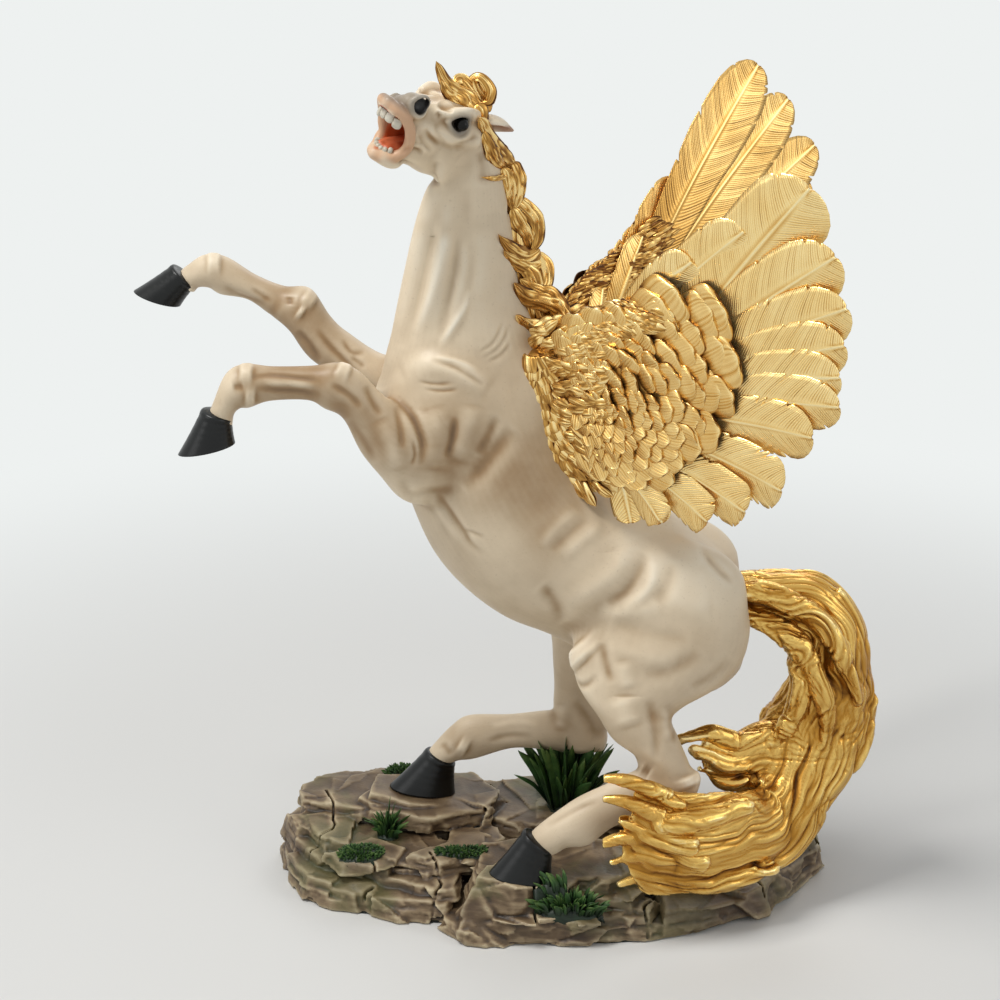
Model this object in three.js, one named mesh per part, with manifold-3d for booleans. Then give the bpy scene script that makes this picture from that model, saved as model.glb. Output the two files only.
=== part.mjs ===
import * as THREE from 'three';
import { mergeVertices } from 'three/addons/utils/BufferGeometryUtils.js';
import Module from 'manifold-3d';

const wasm = await Module();
wasm.setup();

// A rearing winged horse on a slab of rock. Sizes are millimetres.
// The horse faces -X, its left side faces -Y and +Z is up; the origin is the middle of the underside.

// Assembly sizes
const GLUE_GAP = 0.3;
const PIN_RADIUS = 1.6;
const FELT_THICK = 1.2;
const FELT_INSET = 5;
const RIM_LIFT = 0.4;

// Wings: turned out from the middle plane, leaning out a little, rooted beside the withers
const WING_ROOT = [-1, 13, 240];
const WING_SPREAD = 31;
const WING_LEAN = 6.4;
const WING_HALF_THICK = 5;
const FEATHER_HALF_THICK = 2;

// Head: turned to the left, lifted and tilted; its frame starts midway between the eyes
const HEAD_AT = [-50, -24, 379];
const HEAD_TURN = 52;
const HEAD_LIFT = 25;
const HEAD_TILT = 23;
const EYE_RADIUS = 3;

// Rock
const ROCK_BEVEL = 1.6;

const radians = THREE.MathUtils.degToRad;
const vec = (p) => new THREE.Vector3(p[0], p[1], p[2]);
const along = (start, direction, distance) => start.clone().addScaledVector(direction, distance);

// Turns a closed indexed surface into a solid, facing outwards
function solidFrom(geometry) {
  const bare = new THREE.BufferGeometry();
  bare.setAttribute('position', geometry.getAttribute('position').clone());
  if (geometry.index) bare.setIndex(geometry.index.clone());
  const merged = mergeVertices(bare, 1e-4);
  const points = new Float32Array(merged.getAttribute('position').array);
  const corners = new Uint32Array(merged.index.array);
  let volume = 0;
  for (let i = 0; i < corners.length; i += 3) {
    const a = new THREE.Vector3().fromArray(points, corners[i] * 3);
    const b = new THREE.Vector3().fromArray(points, corners[i + 1] * 3);
    const c = new THREE.Vector3().fromArray(points, corners[i + 2] * 3);
    volume += a.dot(b.cross(c));
  }
  if (volume < 0) {
    for (let i = 0; i < corners.length; i += 3) {
      const swap = corners[i + 1];
      corners[i + 1] = corners[i + 2];
      corners[i + 2] = swap;
    }
  }
  return new wasm.Manifold(new wasm.Mesh({ numProp: 3, vertProperties: points, triVerts: corners }));
}

function joined(solids) {
  return solids.reduce((whole, piece) => whole.add(piece));
}

function cut(solid, ...tools) {
  return tools.reduce((rest, tool) => rest.subtract(tool), solid);
}

// Keeps the main lump of a cut piece
function mainLump(solid) {
  const lumps = solid.decompose();
  return lumps.reduce((best, lump) => (lump.volume() > best.volume() ? lump : best));
}

function geometryFrom(solid) {
  const mesh = mainLump(solid).getMesh();
  const geometry = new THREE.BufferGeometry();
  geometry.setAttribute('position', new THREE.BufferAttribute(new Float32Array(mesh.vertProperties), 3));
  geometry.setIndex(new THREE.BufferAttribute(new Uint32Array(mesh.triVerts), 1));
  geometry.computeVertexNormals();
  return geometry;
}

// A value between four neighbours on a smooth curve
function blend(before, from, to, after, t) {
  const start = 2 * from;
  const linear = to - before;
  const square = 2 * before - 5 * from + 4 * to - after;
  const cube = 3 * (from - to) + after - before;
  return 0.5 * (start + t * (linear + t * (square + t * cube)));
}

function blendVector(before, from, to, after, t) {
  return new THREE.Vector3(
    blend(before.x, from.x, to.x, after.x, t),
    blend(before.y, from.y, to.y, after.y, t),
    blend(before.z, from.z, to.z, after.z, t));
}

// Extra rings between the given ones
function refined(rings, steps) {
  const out = [];
  for (let i = 0; i < rings.length - 1; i += 1) {
    const before = rings[Math.max(i - 1, 0)];
    const after = rings[Math.min(i + 2, rings.length - 1)];
    for (let k = 0; k < steps; k += 1) {
      const t = k / steps;
      out.push({
        middle: blendVector(before.middle, rings[i].middle, rings[i + 1].middle, after.middle, t),
        tall: blendVector(before.tall, rings[i].tall, rings[i + 1].tall, after.tall, t),
        wide: blendVector(before.wide, rings[i].wide, rings[i + 1].wide, after.wide, t),
      });
    }
  }
  out.push(rings[rings.length - 1]);
  return out;
}

// A closed skin over elliptical rings with rounded ends
function loft(rings, { sides = 12, steps = 1, grow = 0, ends = [3, 3] } = {}) {
  const path = steps > 1 ? refined(rings, steps) : rings;
  const points = [];
  const corners = [];
  const loops = [];
  const addLoop = (middle, tall, wide, scale) => {
    loops.push(points.length / 3);
    const tallGrown = tall.clone().setLength(tall.length() + grow).multiplyScalar(scale);
    const wideGrown = wide.clone().setLength(wide.length() + grow).multiplyScalar(scale);
    for (let k = 0; k < sides; k += 1) {
      const turn = (2 * Math.PI * k) / sides;
      const p = along(along(middle, tallGrown, Math.cos(turn)), wideGrown, Math.sin(turn));
      points.push(p.x, p.y, p.z);
    }
  };
  const first = path[0];
  const last = path[path.length - 1];
  const startWay = first.middle.clone().sub(path[1].middle).normalize();
  const endWay = last.middle.clone().sub(path[path.length - 2].middle).normalize();
  const startTip = along(first.middle, startWay, ends[0] + grow);
  const endTip = along(last.middle, endWay, ends[1] + grow);
  addLoop(along(first.middle, startWay, (ends[0] + grow) * 0.7), first.tall, first.wide, 0.68);
  path.forEach((ring) => addLoop(ring.middle, ring.tall, ring.wide, 1));
  addLoop(along(last.middle, endWay, (ends[1] + grow) * 0.7), last.tall, last.wide, 0.68);
  for (let i = 0; i < loops.length - 1; i += 1) {
    for (let k = 0; k < sides; k += 1) {
      const next = (k + 1) % sides;
      corners.push(loops[i] + k, loops[i] + next, loops[i + 1] + k);
      corners.push(loops[i] + next, loops[i + 1] + next, loops[i + 1] + k);
    }
  }
  const startIndex = points.length / 3;
  points.push(startTip.x, startTip.y, startTip.z);
  const endIndex = points.length / 3;
  points.push(endTip.x, endTip.y, endTip.z);
  const lastLoop = loops[loops.length - 1];
  for (let k = 0; k < sides; k += 1) {
    const next = (k + 1) % sides;
    corners.push(startIndex, loops[0] + next, loops[0] + k);
    corners.push(endIndex, lastLoop + k, lastLoop + next);
  }
  const geometry = new THREE.BufferGeometry();
  geometry.setAttribute('position', new THREE.Float32BufferAttribute(points, 3));
  geometry.setIndex(corners);
  return solidFrom(geometry);
}

// Rings from pairs of opposite outline points and a half width across the side view
function ringsFromPairs(pairs) {
  return pairs.map(([upper, lower, halfWidth]) => {
    const a = vec(upper);
    const b = vec(lower);
    const tall = a.clone().sub(b).multiplyScalar(0.5);
    const way = tall.clone().normalize();
    const side = new THREE.Vector3(0, 1, 0);
    const wide = along(side, way, -way.dot(side)).setLength(halfWidth);
    return { middle: a.add(b).multiplyScalar(0.5), tall, wide };
  });
}

// Rings for a round lock or blade: path points with their radii
function ringsFromPath(points, radii, flat = 1) {
  const path = points.map(vec);
  return path.map((middle, i) => {
    const next = path[Math.min(i + 1, path.length - 1)];
    const last = path[Math.max(i - 1, 0)];
    const way = next.clone().sub(last).normalize();
    const guide = Math.abs(way.y) > 0.9 ? new THREE.Vector3(1, 0, 0) : new THREE.Vector3(0, 1, 0);
    const wide = along(guide, way, -way.dot(guide)).setLength(radii[i] * flat);
    const tall = way.clone().cross(wide).setLength(radii[i]);
    return { middle, tall, wide };
  });
}

function ellipsoid(at, radii, grow = 0, turn = [0, 0, 0], detail = [10, 6]) {
  const geometry = new THREE.SphereGeometry(1, detail[0], detail[1]);
  geometry.scale(radii[0] + grow, radii[1] + grow, radii[2] + grow);
  geometry.applyMatrix4(new THREE.Matrix4().makeRotationFromEuler(
    new THREE.Euler(radians(turn[0]), radians(turn[1]), radians(turn[2]))));
  geometry.translate(at[0], at[1], at[2]);
  return solidFrom(geometry);
}

function rod(from, to, radius, grow = 0) {
  const way = to.clone().sub(from);
  const geometry = new THREE.CylinderGeometry(radius + grow, radius + grow, way.length() + 2 * grow, 10);
  const turn = new THREE.Quaternion().setFromUnitVectors(new THREE.Vector3(0, 1, 0), way.clone().normalize());
  geometry.applyQuaternion(turn);
  const middle = from.clone().add(to).multiplyScalar(0.5);
  geometry.translate(middle.x, middle.y, middle.z);
  return solidFrom(geometry);
}

// Body of the horse: trunk, neck and hind legs, as upper point, lower point and half width
const TRUNK = [
  [[85, 0, 152], [87, 0, 132], 12],
  [[76, 0, 170], [84, 0, 114], 25],
  [[62, 0, 182], [64, 0, 103], 31],
  [[45, 0, 192], [27, 0, 116], 32],
  [[32, 0, 201], [-1, 0, 132], 30],
  [[18, 0, 209], [-24, 0, 142], 31],
  [[7, 0, 223], [-43, 0, 157], 33],
  [[-2, 0, 243], [-57, 0, 175], 33],
  [[-8, 0, 261], [-67, 0, 199], 31],
  [[-19, 0, 270], [-75, -2, 226], 27],
  [[-34, -2, 270], [-80, -4, 250], 19],
];
const NECK = [
  [[-1, 2, 246], [-69, 0, 211], 25],
  [[-9, 3, 274], [-78, -5, 252], 24],
  [[-17, 4, 294], [-73, -8, 280], 19.5],
  [[-20, 4, 312], [-67, -11, 307], 16.5],
  [[-23, 3, 331], [-62, -14, 327], 14.5],
  [[-26, 0, 351], [-57, -15, 342], 13],
  [[-30, -3, 365], [-52, -15, 350], 11],
];
const HIND_LEFT = [
  [[82, -14, 162], [32, -14, 178], 14],
  [[87, -18, 140], [14, -20, 152], 16],
  [[77, -23, 119], [7, -27, 136], 15],
  [[57, -29, 108], [9, -31, 120], 13.5],
  [[52, -33, 103], [18, -34, 106], 12],
  [[55, -35, 95], [25, -35, 95], 10.5],
  [[60, -36, 83], [35, -36, 87], 9],
  [[63, -36, 74], [38, -36, 75], 8.5],
];
const CANNON_LEFT = [
  [[64, -36, 78], [60, -36, 65], 7],
  [[51, -36, 82], [53, -37, 63], 8],
  [[36, -37, 79], [38, -37, 57], 7],
  [[22, -37, 72], [25, -38, 51], 7],
  [[10, -38, 66], [15, -38, 43], 8.5],
  [[0, -39, 59], [5, -39, 42], 8],
  [[-9, -40, 52], [1, -40, 40], 7],
  [[-14, -41, 47], [-4, -41, 38], 6],
];
const HIND_RIGHT = [
  [[82, 14, 162], [32, 14, 178], 14],
  [[84, 18, 138], [9, 20, 150], 16],
  [[66, 22, 118], [-1, 25, 130], 14],
  [[36, 25, 108], [-1, 26, 113], 12],
  [[27, 29, 93], [0, 29, 94], 10],
  [[26, 31, 74], [0, 31, 79], 8.5],
  [[24, 32, 62], [4, 32, 62], 7.5],
];
const CANNON_RIGHT = [
  [[24, 32, 69], [22, 32, 57], 6.5],
  [[10, 32, 78], [11, 32, 56], 7.5],
  [[-4, 32, 78], [-4, 32, 58], 7],
  [[-21, 32, 76], [-20, 32, 59], 7],
  [[-41, 33, 75], [-38, 33, 53], 8],
  [[-50, 33, 69], [-46, 33, 52], 7.5],
  [[-58, 33, 60], [-50, 33, 50], 6.5],
  [[-62, 33, 55], [-52, 33, 47], 5.5],
];

// Muscle masses that stand out of the trunk
const MUSCLES = [
  [[-50, -18, 246], [24, 13, 24], [0, 20, 0]],
  [[-50, 18, 246], [24, 13, 24], [0, 20, 0]],
  [[-64, -20, 224], [14, 13, 20], [0, 0, 0]],
  [[-64, 20, 224], [14, 13, 20], [0, 0, 0]],
  [[-13, -9, 243], [10, 10, 25], [0, 0, 0]],
  [[-13, 9, 243], [10, 10, 25], [0, 0, 0]],
  [[58, -19, 160], [26, 13, 22], [0, 0, 0]],
  [[58, 19, 160], [26, 13, 22], [0, 0, 0]],
];

// Forelegs, raised in front, from inside the chest to the pastern
const FORE_LEFT = [
  [[-34, -12, 254], [-46, -14, 207], 12],
  [[-52, -22, 252], [-61, -24, 205], 13],
  [[-67, -28, 249], [-74, -28, 214], 13],
  [[-76, -31, 255], [-86, -31, 229], 10.5],
  [[-87, -33, 267], [-94, -33, 246], 9.5],
  [[-96, -34, 271], [-102, -34, 251], 9],
  [[-107, -35, 270], [-109, -35, 255], 7],
  [[-124, -36, 270], [-125, -36, 255], 7],
  [[-136, -36, 271], [-134, -36, 252], 8.5],
  [[-144, -37, 267], [-138, -37, 252], 8],
  [[-150, -37, 254], [-141, -37, 249], 6.5],
  [[-153, -37, 247], [-142, -37, 243], 5.5],
];
const FORE_RIGHT = [
  [[-34, 12, 262], [-46, 13, 224], 12],
  [[-62, 22, 262], [-67, 22, 230], 12],
  [[-78, 25, 258], [-86, 25, 241], 10],
  [[-95, 27, 268], [-111, 27, 255], 9.5],
  [[-103, 29, 275], [-122, 29, 269], 9.5],
  [[-112, 30, 288], [-129, 30, 275], 8.5],
  [[-124, 31, 289], [-132, 31, 277], 7],
  [[-137, 32, 294], [-141, 32, 283], 7],
  [[-150, 33, 302], [-153, 33, 285], 8],
  [[-160, 33, 303], [-158, 33, 288], 7.5],
  [[-168, 34, 298], [-163, 34, 288], 6.5],
  [[-173, 34, 294], [-165, 34, 286], 5.5],
];

// Hooves, from the coronet to the sole
const HOOF_RINGS = {
  hoof_hind_left: [[[-15, -42, 51], [-2, -41, 41], 7.5], [[-31, -43, 30.5], [-2, -42, 27], 10]],
  hoof_hind_right: [[[-62, 33, 57], [-48, 33, 50], 7.5], [[-80, 33, 38], [-48, 33, 34.5], 10]],
  hoof_fore_left: [[[-155, -37, 251], [-142, -37, 247], 7.5], [[-166, -37, 231], [-141, -37, 236], 9.5]],
  hoof_fore_right: [[[-175, 34, 298], [-165, 34, 288], 7.5], [[-193, 35, 286], [-172, 35, 279], 9.5]],
};

// Tail: a falling plume that turns under and forward in two sheets
const TAIL_COLUMN = [
  [[79, 0, 160], [83, 0, 142], 8],
  [[101, 1, 161], [100, 1, 135], 12],
  [[121, 2, 159], [107, 2, 129], 14],
  [[137, 3, 145], [113, 3, 121], 15],
  [[146, 3, 124], [111, 4, 109], 15],
  [[148, 2, 102], [104, 4, 96], 15],
  [[144, -1, 80], [98, 1, 82], 12],
];
const TAIL_BACK_SHEET = [
  [[100, 2, 92], [141, 2, 84], 12],
  [[104, -4, 91], [124, -5, 60], 9],
  [[92, -10, 91], [97, -12, 58], 7],
  [[80, -15, 87], [80, -17, 60], 5.5],
  [[69, -18, 91], [71, -19, 69], 4],
];
const TAIL_FRONT_SHEET = [
  [[98, 1, 88], [147, 2, 92], 12],
  [[97, -5, 79], [142, -5, 71], 11],
  [[96, -13, 72], [131, -12, 53], 10],
  [[94, -25, 68], [113, -22, 29], 8.5],
  [[86, -37, 69], [89, -38, 25], 7],
  [[67, -48, 71], [65, -49, 24], 5.5],
  [[44, -54, 73], [40, -54, 27], 5],
  [[20, -56, 78], [25, -56, 36], 3.5],
];

// Mane locks along the crest: path points and radii
const MANE_LOCKS = [
  [[[-30, 0, 362], [-24, 3, 346], [-21, 5, 324], [-17, 5, 302], [-9, 3, 284], [-3, 0, 268]],
    [3.5, 5.5, 5.5, 6.5, 6, 4]],
  [[[-28, -3, 358], [-20, -8, 347], [-22, -12, 338]], [3.5, 4, 2]],
  [[[-19, 1, 344], [-14, -6, 330], [-18, -11, 318]], [4.5, 4.5, 2]],
  [[[-14, 3, 322], [-6, -5, 310], [-9, -11, 299], [-19, -13, 305]], [5, 5, 4, 1.5]],
  [[[-10, 3, 306], [-1, -5, 295], [-1, -10, 284]], [5, 5, 2]],
  [[[-6, 3, 292], [-12, -9, 284], [-4, -14, 270], [4, -15, 262]], [5, 4.5, 4, 2]],
  [[[-3, 2, 280], [-10, -12, 268], [-3, -17, 258], [3, -19, 252]], [5, 4.5, 4, 2]],
];

// Rock slabs: outline, bottom and top heights
const GROUND = [
  [-131, 4], [-121, -15], [-106, -25], [-90, -29], [-73, -37], [-56, -38], [-41, -56], [-17, -59],
  [1, -58], [24, -59], [43, -56], [66, -48], [99, -28], [118, -6], [133, 22], [131, 40], [108, 56],
  [80, 62], [40, 68], [0, 73], [-40, 76], [-82, 72], [-108, 67], [-129, 54], [-133, 30],
];
const ROCK_SLABS = [
  [GROUND, RIM_LIFT, 12],
  [[[-124, 2], [-104, -20], [-74, -30], [-54, -34], [-40, -50], [-6, -54], [28, -54], [44, -51], [64, -43],
    [94, -25], [113, -5], [127, 18], [126, 36], [104, 50], [78, 56], [30, 63], [-42, 71], [-100, 66],
    [-127, 50], [-130, 26]], 8, 21],
  [[[-50, -38], [-34, -48], [-4, -52], [34, -50], [58, -38], [66, -10], [40, 16], [-10, 22], [-54, 6]], 18, 27.5],
  [[[-130, 30], [-122, 6], [-92, 0], [-60, 4], [-20, 20], [22, 30], [34, 50], [14, 62], [-40, 70],
    [-100, 66], [-126, 50]], 18, 30],
  [[[-128, 46], [-124, 20], [-98, 12], [-60, 14], [-30, 26], [-20, 48], [-26, 64], [-70, 68], [-102, 62]],
    27, 35.5],
  [[[-112, -18], [-118, 0], [-96, 8], [-66, 2], [-52, -16], [-62, -30], [-84, -26]], 18, 24],
  [[[64, -38], [92, -20], [112, -2], [120, 20], [100, 38], [60, 46], [44, 20]], 17, 25],
];

// Grass: tufts of blades, as foot, mound radii and blade tips
const TUFTS = {
  grass_hock: {
    foot: [4, 30, 26], mound: [16, 9, 12], bladeRadius: 4.5,
    tips: [[-20, 34, 62], [-13, 30, 58], [-4, 34, 67], [2, 24, 58], [10, 22, 55], [22, 40, 58], [28, 31, 50],
      [12, 42, 58], [0, 42, 56]],
  },
  grass_left: {
    foot: [-80, 6, 25], mound: [7, 6, 8], bladeRadius: 2.4,
    tips: [[-88, 9, 40], [-84, 12, 45], [-76, 11, 47], [-70, 8, 44], [-68, 4, 39], [-82, 3, 39]],
  },
  grass_front: {
    foot: [6, -60, 14], mound: [20, 6, 11], bladeRadius: 3,
    tips: [[-16, -62, 20], [-10, -64, 10], [0, -67, 8], [10, -66, 10], [24, -61, 22], [14, -62, 29],
      [2, -61, 28], [26, -62, 14]],
  },
  grass_back: {
    foot: [58, 50, 21], mound: [10, 7, 8], bladeRadius: 2.6,
    tips: [[48, 52, 40], [54, 47, 43], [62, 54, 44], [68, 49, 39], [60, 60, 36]],
  },
};
// Moss: low cushions, as middle and radii
const CUSHIONS = {
  moss_left: [[-94, -12, 22], [13, 10, 6]],
  moss_middle: [[-42, -14, 26], [15, 5, 5]],
  moss_back: [[-72, 54, 34], [14, 8, 5.5]],
};

// Wing outlines in the wing's own plane: along the spread and up
const COVERTS = [
  [4, 40], [26, 56], [44, 61], [60, 66], [80, 67], [88, 42], [82, 18], [72, 0], [60, -20], [40, -26], [23, -22],
  [8, -24], [-2, -8], [-4, 20],
];
const FEATHERS_LEFT = [
  [[48, 42], [126, 110], 16], [[50, 34], [136, 82], 12.5], [[50, 28], [139, 61], 12.5], [[50, 22], [135, 39], 12.5],
  [[48, 16], [120, 21], 11.5], [[46, 10], [123, 8], 11.5], [[42, 4], [113, -11], 11.5], [[36, 0], [91, -30], 11.5],
  [[28, -4], [69, -37], 10.5], [[36, 46], [72, 84], 9], [[28, 42], [58, 72], 8], [[18, -2], [40, -29], 8],
];
const FEATHERS_RIGHT = [
  [[50, 50], [121, 141], 13], [[52, 42], [138, 124], 12.5], [[54, 36], [153, 101], 12.5], [[54, 30], [149, 84], 12],
  [[52, 24], [146, 60], 12], [[50, 18], [138, 36], 12], [[46, 12], [126, 10], 12], [[42, 6], [110, -12], 11.5],
  [[34, 0], [90, -30], 11], [[26, -4], [66, -36], 10.5], [[36, 46], [74, 92], 8], [[28, 40], [54, 70], 7],
];

// The wing's own directions: out along the spread, up the wing, and out of its flat side
function wingFrame(side) {
  const spread = radians(WING_SPREAD);
  const lean = radians(WING_LEAN);
  const out = new THREE.Vector3(Math.cos(spread), side * Math.sin(spread), 0);
  const level = new THREE.Vector3(-Math.sin(spread), side * Math.cos(spread), 0);
  const up = along(level.clone().multiplyScalar(Math.sin(lean)), new THREE.Vector3(0, 0, 1), Math.cos(lean));
  const face = along(level.clone().multiplyScalar(Math.cos(lean)), new THREE.Vector3(0, 0, 1), -Math.sin(lean));
  const root = new THREE.Vector3(WING_ROOT[0], side * WING_ROOT[1], WING_ROOT[2]);
  return { root, out, up, face };
}

function wingPoint(frame, out, up, face = 0) {
  return along(along(along(frame.root, frame.out, out), frame.up, up), frame.face, face);
}

function feather(frame, [from, to, halfWidth], order, grow) {
  const length = Math.hypot(to[0] - from[0], to[1] - from[1]);
  const way = [(to[0] - from[0]) / length, (to[1] - from[1]) / length];
  const shape = [[0, 0.45], [0.5, 1], [0.8, 0.95], [0.94, 0.6]];
  const layer = (order % 2 === 0 ? 0.5 : -0.5);
  const rings = shape.map(([t, width]) => ({
    middle: wingPoint(frame, from[0] + way[0] * length * t, from[1] + way[1] * length * t, layer + 3 * t * t),
    tall: frame.face.clone().setLength(FEATHER_HALF_THICK * (1.15 - 0.4 * t)),
    wide: along(frame.out.clone().multiplyScalar(-way[1]), frame.up, way[0]).setLength(halfWidth * width),
  }));
  return loft(rings, { sides: 6, grow, ends: [2, length * 0.06] });
}

// A cushion-shaped plate over an outline in the wing's plane
function plate(frame, outline, middle, edgeHalf, middleHalf) {
  const points = [];
  const corners = [];
  const count = outline.length;
  const add = (out, up, face) => {
    const p = wingPoint(frame, out, up, face);
    points.push(p.x, p.y, p.z);
  };
  for (const face of [1, -1]) {
    outline.forEach(([out, up]) => add(out, up, face * edgeHalf));
    outline.forEach(([out, up]) => add(
      middle[0] + (out - middle[0]) * 0.6, middle[1] + (up - middle[1]) * 0.6, face * middleHalf));
    add(middle[0], middle[1], face * middleHalf);
  }
  const far = 2 * count + 1;
  for (let i = 0; i < count; i += 1) {
    const next = (i + 1) % count;
    corners.push(i, next, count + i, next, count + next, count + i, count + i, count + next, 2 * count);
    corners.push(far + i, far + count + i, far + next, far + next, far + count + i, far + count + next);
    corners.push(far + count + i, far + 2 * count, far + count + next);
    corners.push(i, far + i, next, next, far + i, far + next);
  }
  const geometry = new THREE.BufferGeometry();
  geometry.setAttribute('position', new THREE.Float32BufferAttribute(points, 3));
  geometry.setIndex(corners);
  return solidFrom(geometry);
}

function wing(side, feathers, grow) {
  const frame = wingFrame(side);
  const middle = [38, 20];
  const outline = COVERTS.map(([out, up]) => {
    const reach = Math.hypot(out - middle[0], up - middle[1]);
    const scale = (reach + grow) / reach;
    return [middle[0] + (out - middle[0]) * scale, middle[1] + (up - middle[1]) * scale];
  });
  const solids = [plate(frame, outline, middle, 3 + grow, WING_HALF_THICK + grow)];
  feathers.forEach((row, i) => solids.push(feather(frame, row, i, grow)));
  return joined(solids);
}

function wingCollar(side) {
  const frame = wingFrame(side);
  const rows = [[-28, 0, 5], [-16, -3, 8], [0, -6, 9], [14, -8, 9], [26, -7, 5]];
  const rings = rows.map(([up, out, halfOut]) => ({
    middle: wingPoint(frame, out, up, 0),
    tall: frame.out.clone().setLength(halfOut + 3),
    wide: frame.face.clone().setLength(9),
  }));
  return loft(rings, { sides: 10, ends: [4, 6] });
}

// The head's own directions: forward, left and up
const turn = radians(HEAD_TURN);
const lift = radians(HEAD_LIFT);
const tilt = radians(HEAD_TILT);
const headForward = new THREE.Vector3(
  -Math.cos(turn) * Math.cos(lift), -Math.sin(turn) * Math.cos(lift), Math.sin(lift));
const levelLeft = new THREE.Vector3(Math.sin(turn), -Math.cos(turn), 0);
const levelUp = headForward.clone().cross(levelLeft);
const headLeft = along(levelLeft.clone().multiplyScalar(Math.cos(tilt)), levelUp, -Math.sin(tilt));
const headUp = along(levelUp.clone().multiplyScalar(Math.cos(tilt)), levelLeft, Math.sin(tilt));

function headPoint(forward, left, up) {
  return along(along(along(vec(HEAD_AT), headForward, forward), headLeft, left), headUp, up);
}

function headRings(rows) {
  return rows.map(([forward, up, halfUp, halfLeft, left = 0]) => ({
    middle: headPoint(forward, left, up),
    tall: headUp.clone().setLength(halfUp),
    wide: headLeft.clone().setLength(halfLeft),
  }));
}

// Skull with the upper jaw, and the dropped lower jaw: forward, up, half height, half width
const SKULL = [
  [-27, -6, 9, 9], [-15, -6, 12, 13], [0, -6, 12, 13.5], [9, -7.5, 9.5, 10.5], [16, -9, 7.5, 9],
  [23, -8.5, 7, 10], [28, -10.5, 5.5, 9], [31, -12.5, 3.5, 7],
];
const JAW = [
  [-24, -15, 11, 10.5], [-8, -20, 10, 10], [4, -25, 6.5, 8.5], [15, -28.5, 4.5, 7.5], [23, -30, 4.5, 7.5],
  [27, -30, 3.5, 5.5],
];
const TONGUE_ROWS = [[0, -18.5, 3, 5], [8, -21.5, 2.4, 5.5], [15, -23.5, 2.2, 5.2], [20, -24.5, 1.4, 4]];

function head(grow) {
  const ear = (left) => loft(ringsFromPath([
    headPoint(-19, left * 8, 1).toArray(), headPoint(-25, left * 11, 4).toArray(),
    headPoint(-33, left * 14, 5).toArray()], [4.5, 4.5, 1.5], 0.6), { sides: 8, grow, ends: [1, 2] });
  return joined([
    loft(headRings(SKULL), { sides: 14, grow, ends: [5, 2] }),
    loft(headRings(JAW), { sides: 12, grow, ends: [4, 1.5] }),
    ear(1), ear(-1),
  ]);
}

function bodySolid(grow) {
  const solids = [
    loft(ringsFromPairs(TRUNK), { sides: 16, grow, ends: [3, 5] }),
    loft(ringsFromPairs(NECK), { sides: 14, grow, ends: [6, 5] }),
    loft(ringsFromPairs(HIND_LEFT), { sides: 12, grow, ends: [8, 4] }),
    loft(ringsFromPairs(CANNON_LEFT), { sides: 10, grow, ends: [3, 2] }),
    loft(ringsFromPairs(HIND_RIGHT), { sides: 12, grow, ends: [8, 4] }),
    loft(ringsFromPairs(CANNON_RIGHT), { sides: 10, grow, ends: [3, 2] }),
    head(grow),
  ];
  MUSCLES.forEach(([at, radii, turned]) => solids.push(ellipsoid(at, radii, grow, turned)));
  return joined(solids);
}

const foreleg = (pairs, grow) => loft(ringsFromPairs(pairs), { sides: 10, grow, ends: [4, 2] });
const hoof = (name, grow) => loft(ringsFromPairs(HOOF_RINGS[name]), { sides: 12, grow, ends: [1.5, 0.4] });
const eye = (left, grow) => ellipsoid(
  headPoint(-1, left * 12, -2).toArray(), [EYE_RADIUS, EYE_RADIUS, EYE_RADIUS], grow, [0, 0, 0], [10, 6]);

function tailSolid(grow) {
  return joined([
    loft(ringsFromPairs(TAIL_COLUMN), { sides: 14, grow, ends: [3, 4] }),
    loft(ringsFromPairs(TAIL_BACK_SHEET), { sides: 12, grow, ends: [3, 3] }),
    loft(ringsFromPairs(TAIL_FRONT_SHEET), { sides: 12, grow, ends: [3, 4] }),
  ]);
}

function maneSolid() {
  return joined(MANE_LOCKS.map(([points, radii]) => loft(
    ringsFromPath(points, radii), { sides: 6, ends: [2, 2.5] })));
}

function forelockSolid() {
  const lock = (from, over, tip, radii) => loft(ringsFromPath(
    [headPoint(...from).toArray(), headPoint(...over).toArray(), headPoint(...tip).toArray()], radii),
  { sides: 6, ends: [1.5, 1.5] });
  return joined([
    lock([-12, 0, 5], [-3, 0, 10], [6, 0, 9], [5, 6, 3]),
    lock([-4, -2, 7], [3, -6, 12], [7, -9, 14.5], [5, 3.5, 1]),
    lock([-12, 1, 5], [-14, 4, 12], [-13, 6, 17], [5, 4, 1.5]),
    lock([-8, 3, 6], [-14, 8, 7], [-17, 10, 2], [5, 4, 1.5]),
  ]);
}

// Rows of front teeth on a short curved gum
function teeth(rows) {
  return loft(ringsFromPath(rows.map((row) => headPoint(...row).toArray()), [1.6, 2, 2, 2, 1.6]),
    { sides: 6, ends: [1, 1] });
}

function slab(outline, bottom, top, grow) {
  const shape = new THREE.Shape(outline.map(([x, y]) => new THREE.Vector2(x, y)));
  const geometry = new THREE.ExtrudeGeometry(shape, {
    depth: top - bottom - 2 * ROCK_BEVEL + 2 * grow,
    bevelEnabled: true,
    bevelThickness: ROCK_BEVEL,
    bevelSize: ROCK_BEVEL,
    bevelOffset: grow - ROCK_BEVEL,
    bevelSegments: 1,
  });
  geometry.translate(0, 0, bottom + ROCK_BEVEL - grow);
  return solidFrom(geometry);
}

function insetOutline(outline, inset) {
  return outline.map(([x, y]) => {
    const reach = Math.hypot(x, y);
    const scale = (reach - inset) / reach;
    return [x * scale, y * scale];
  });
}

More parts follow.
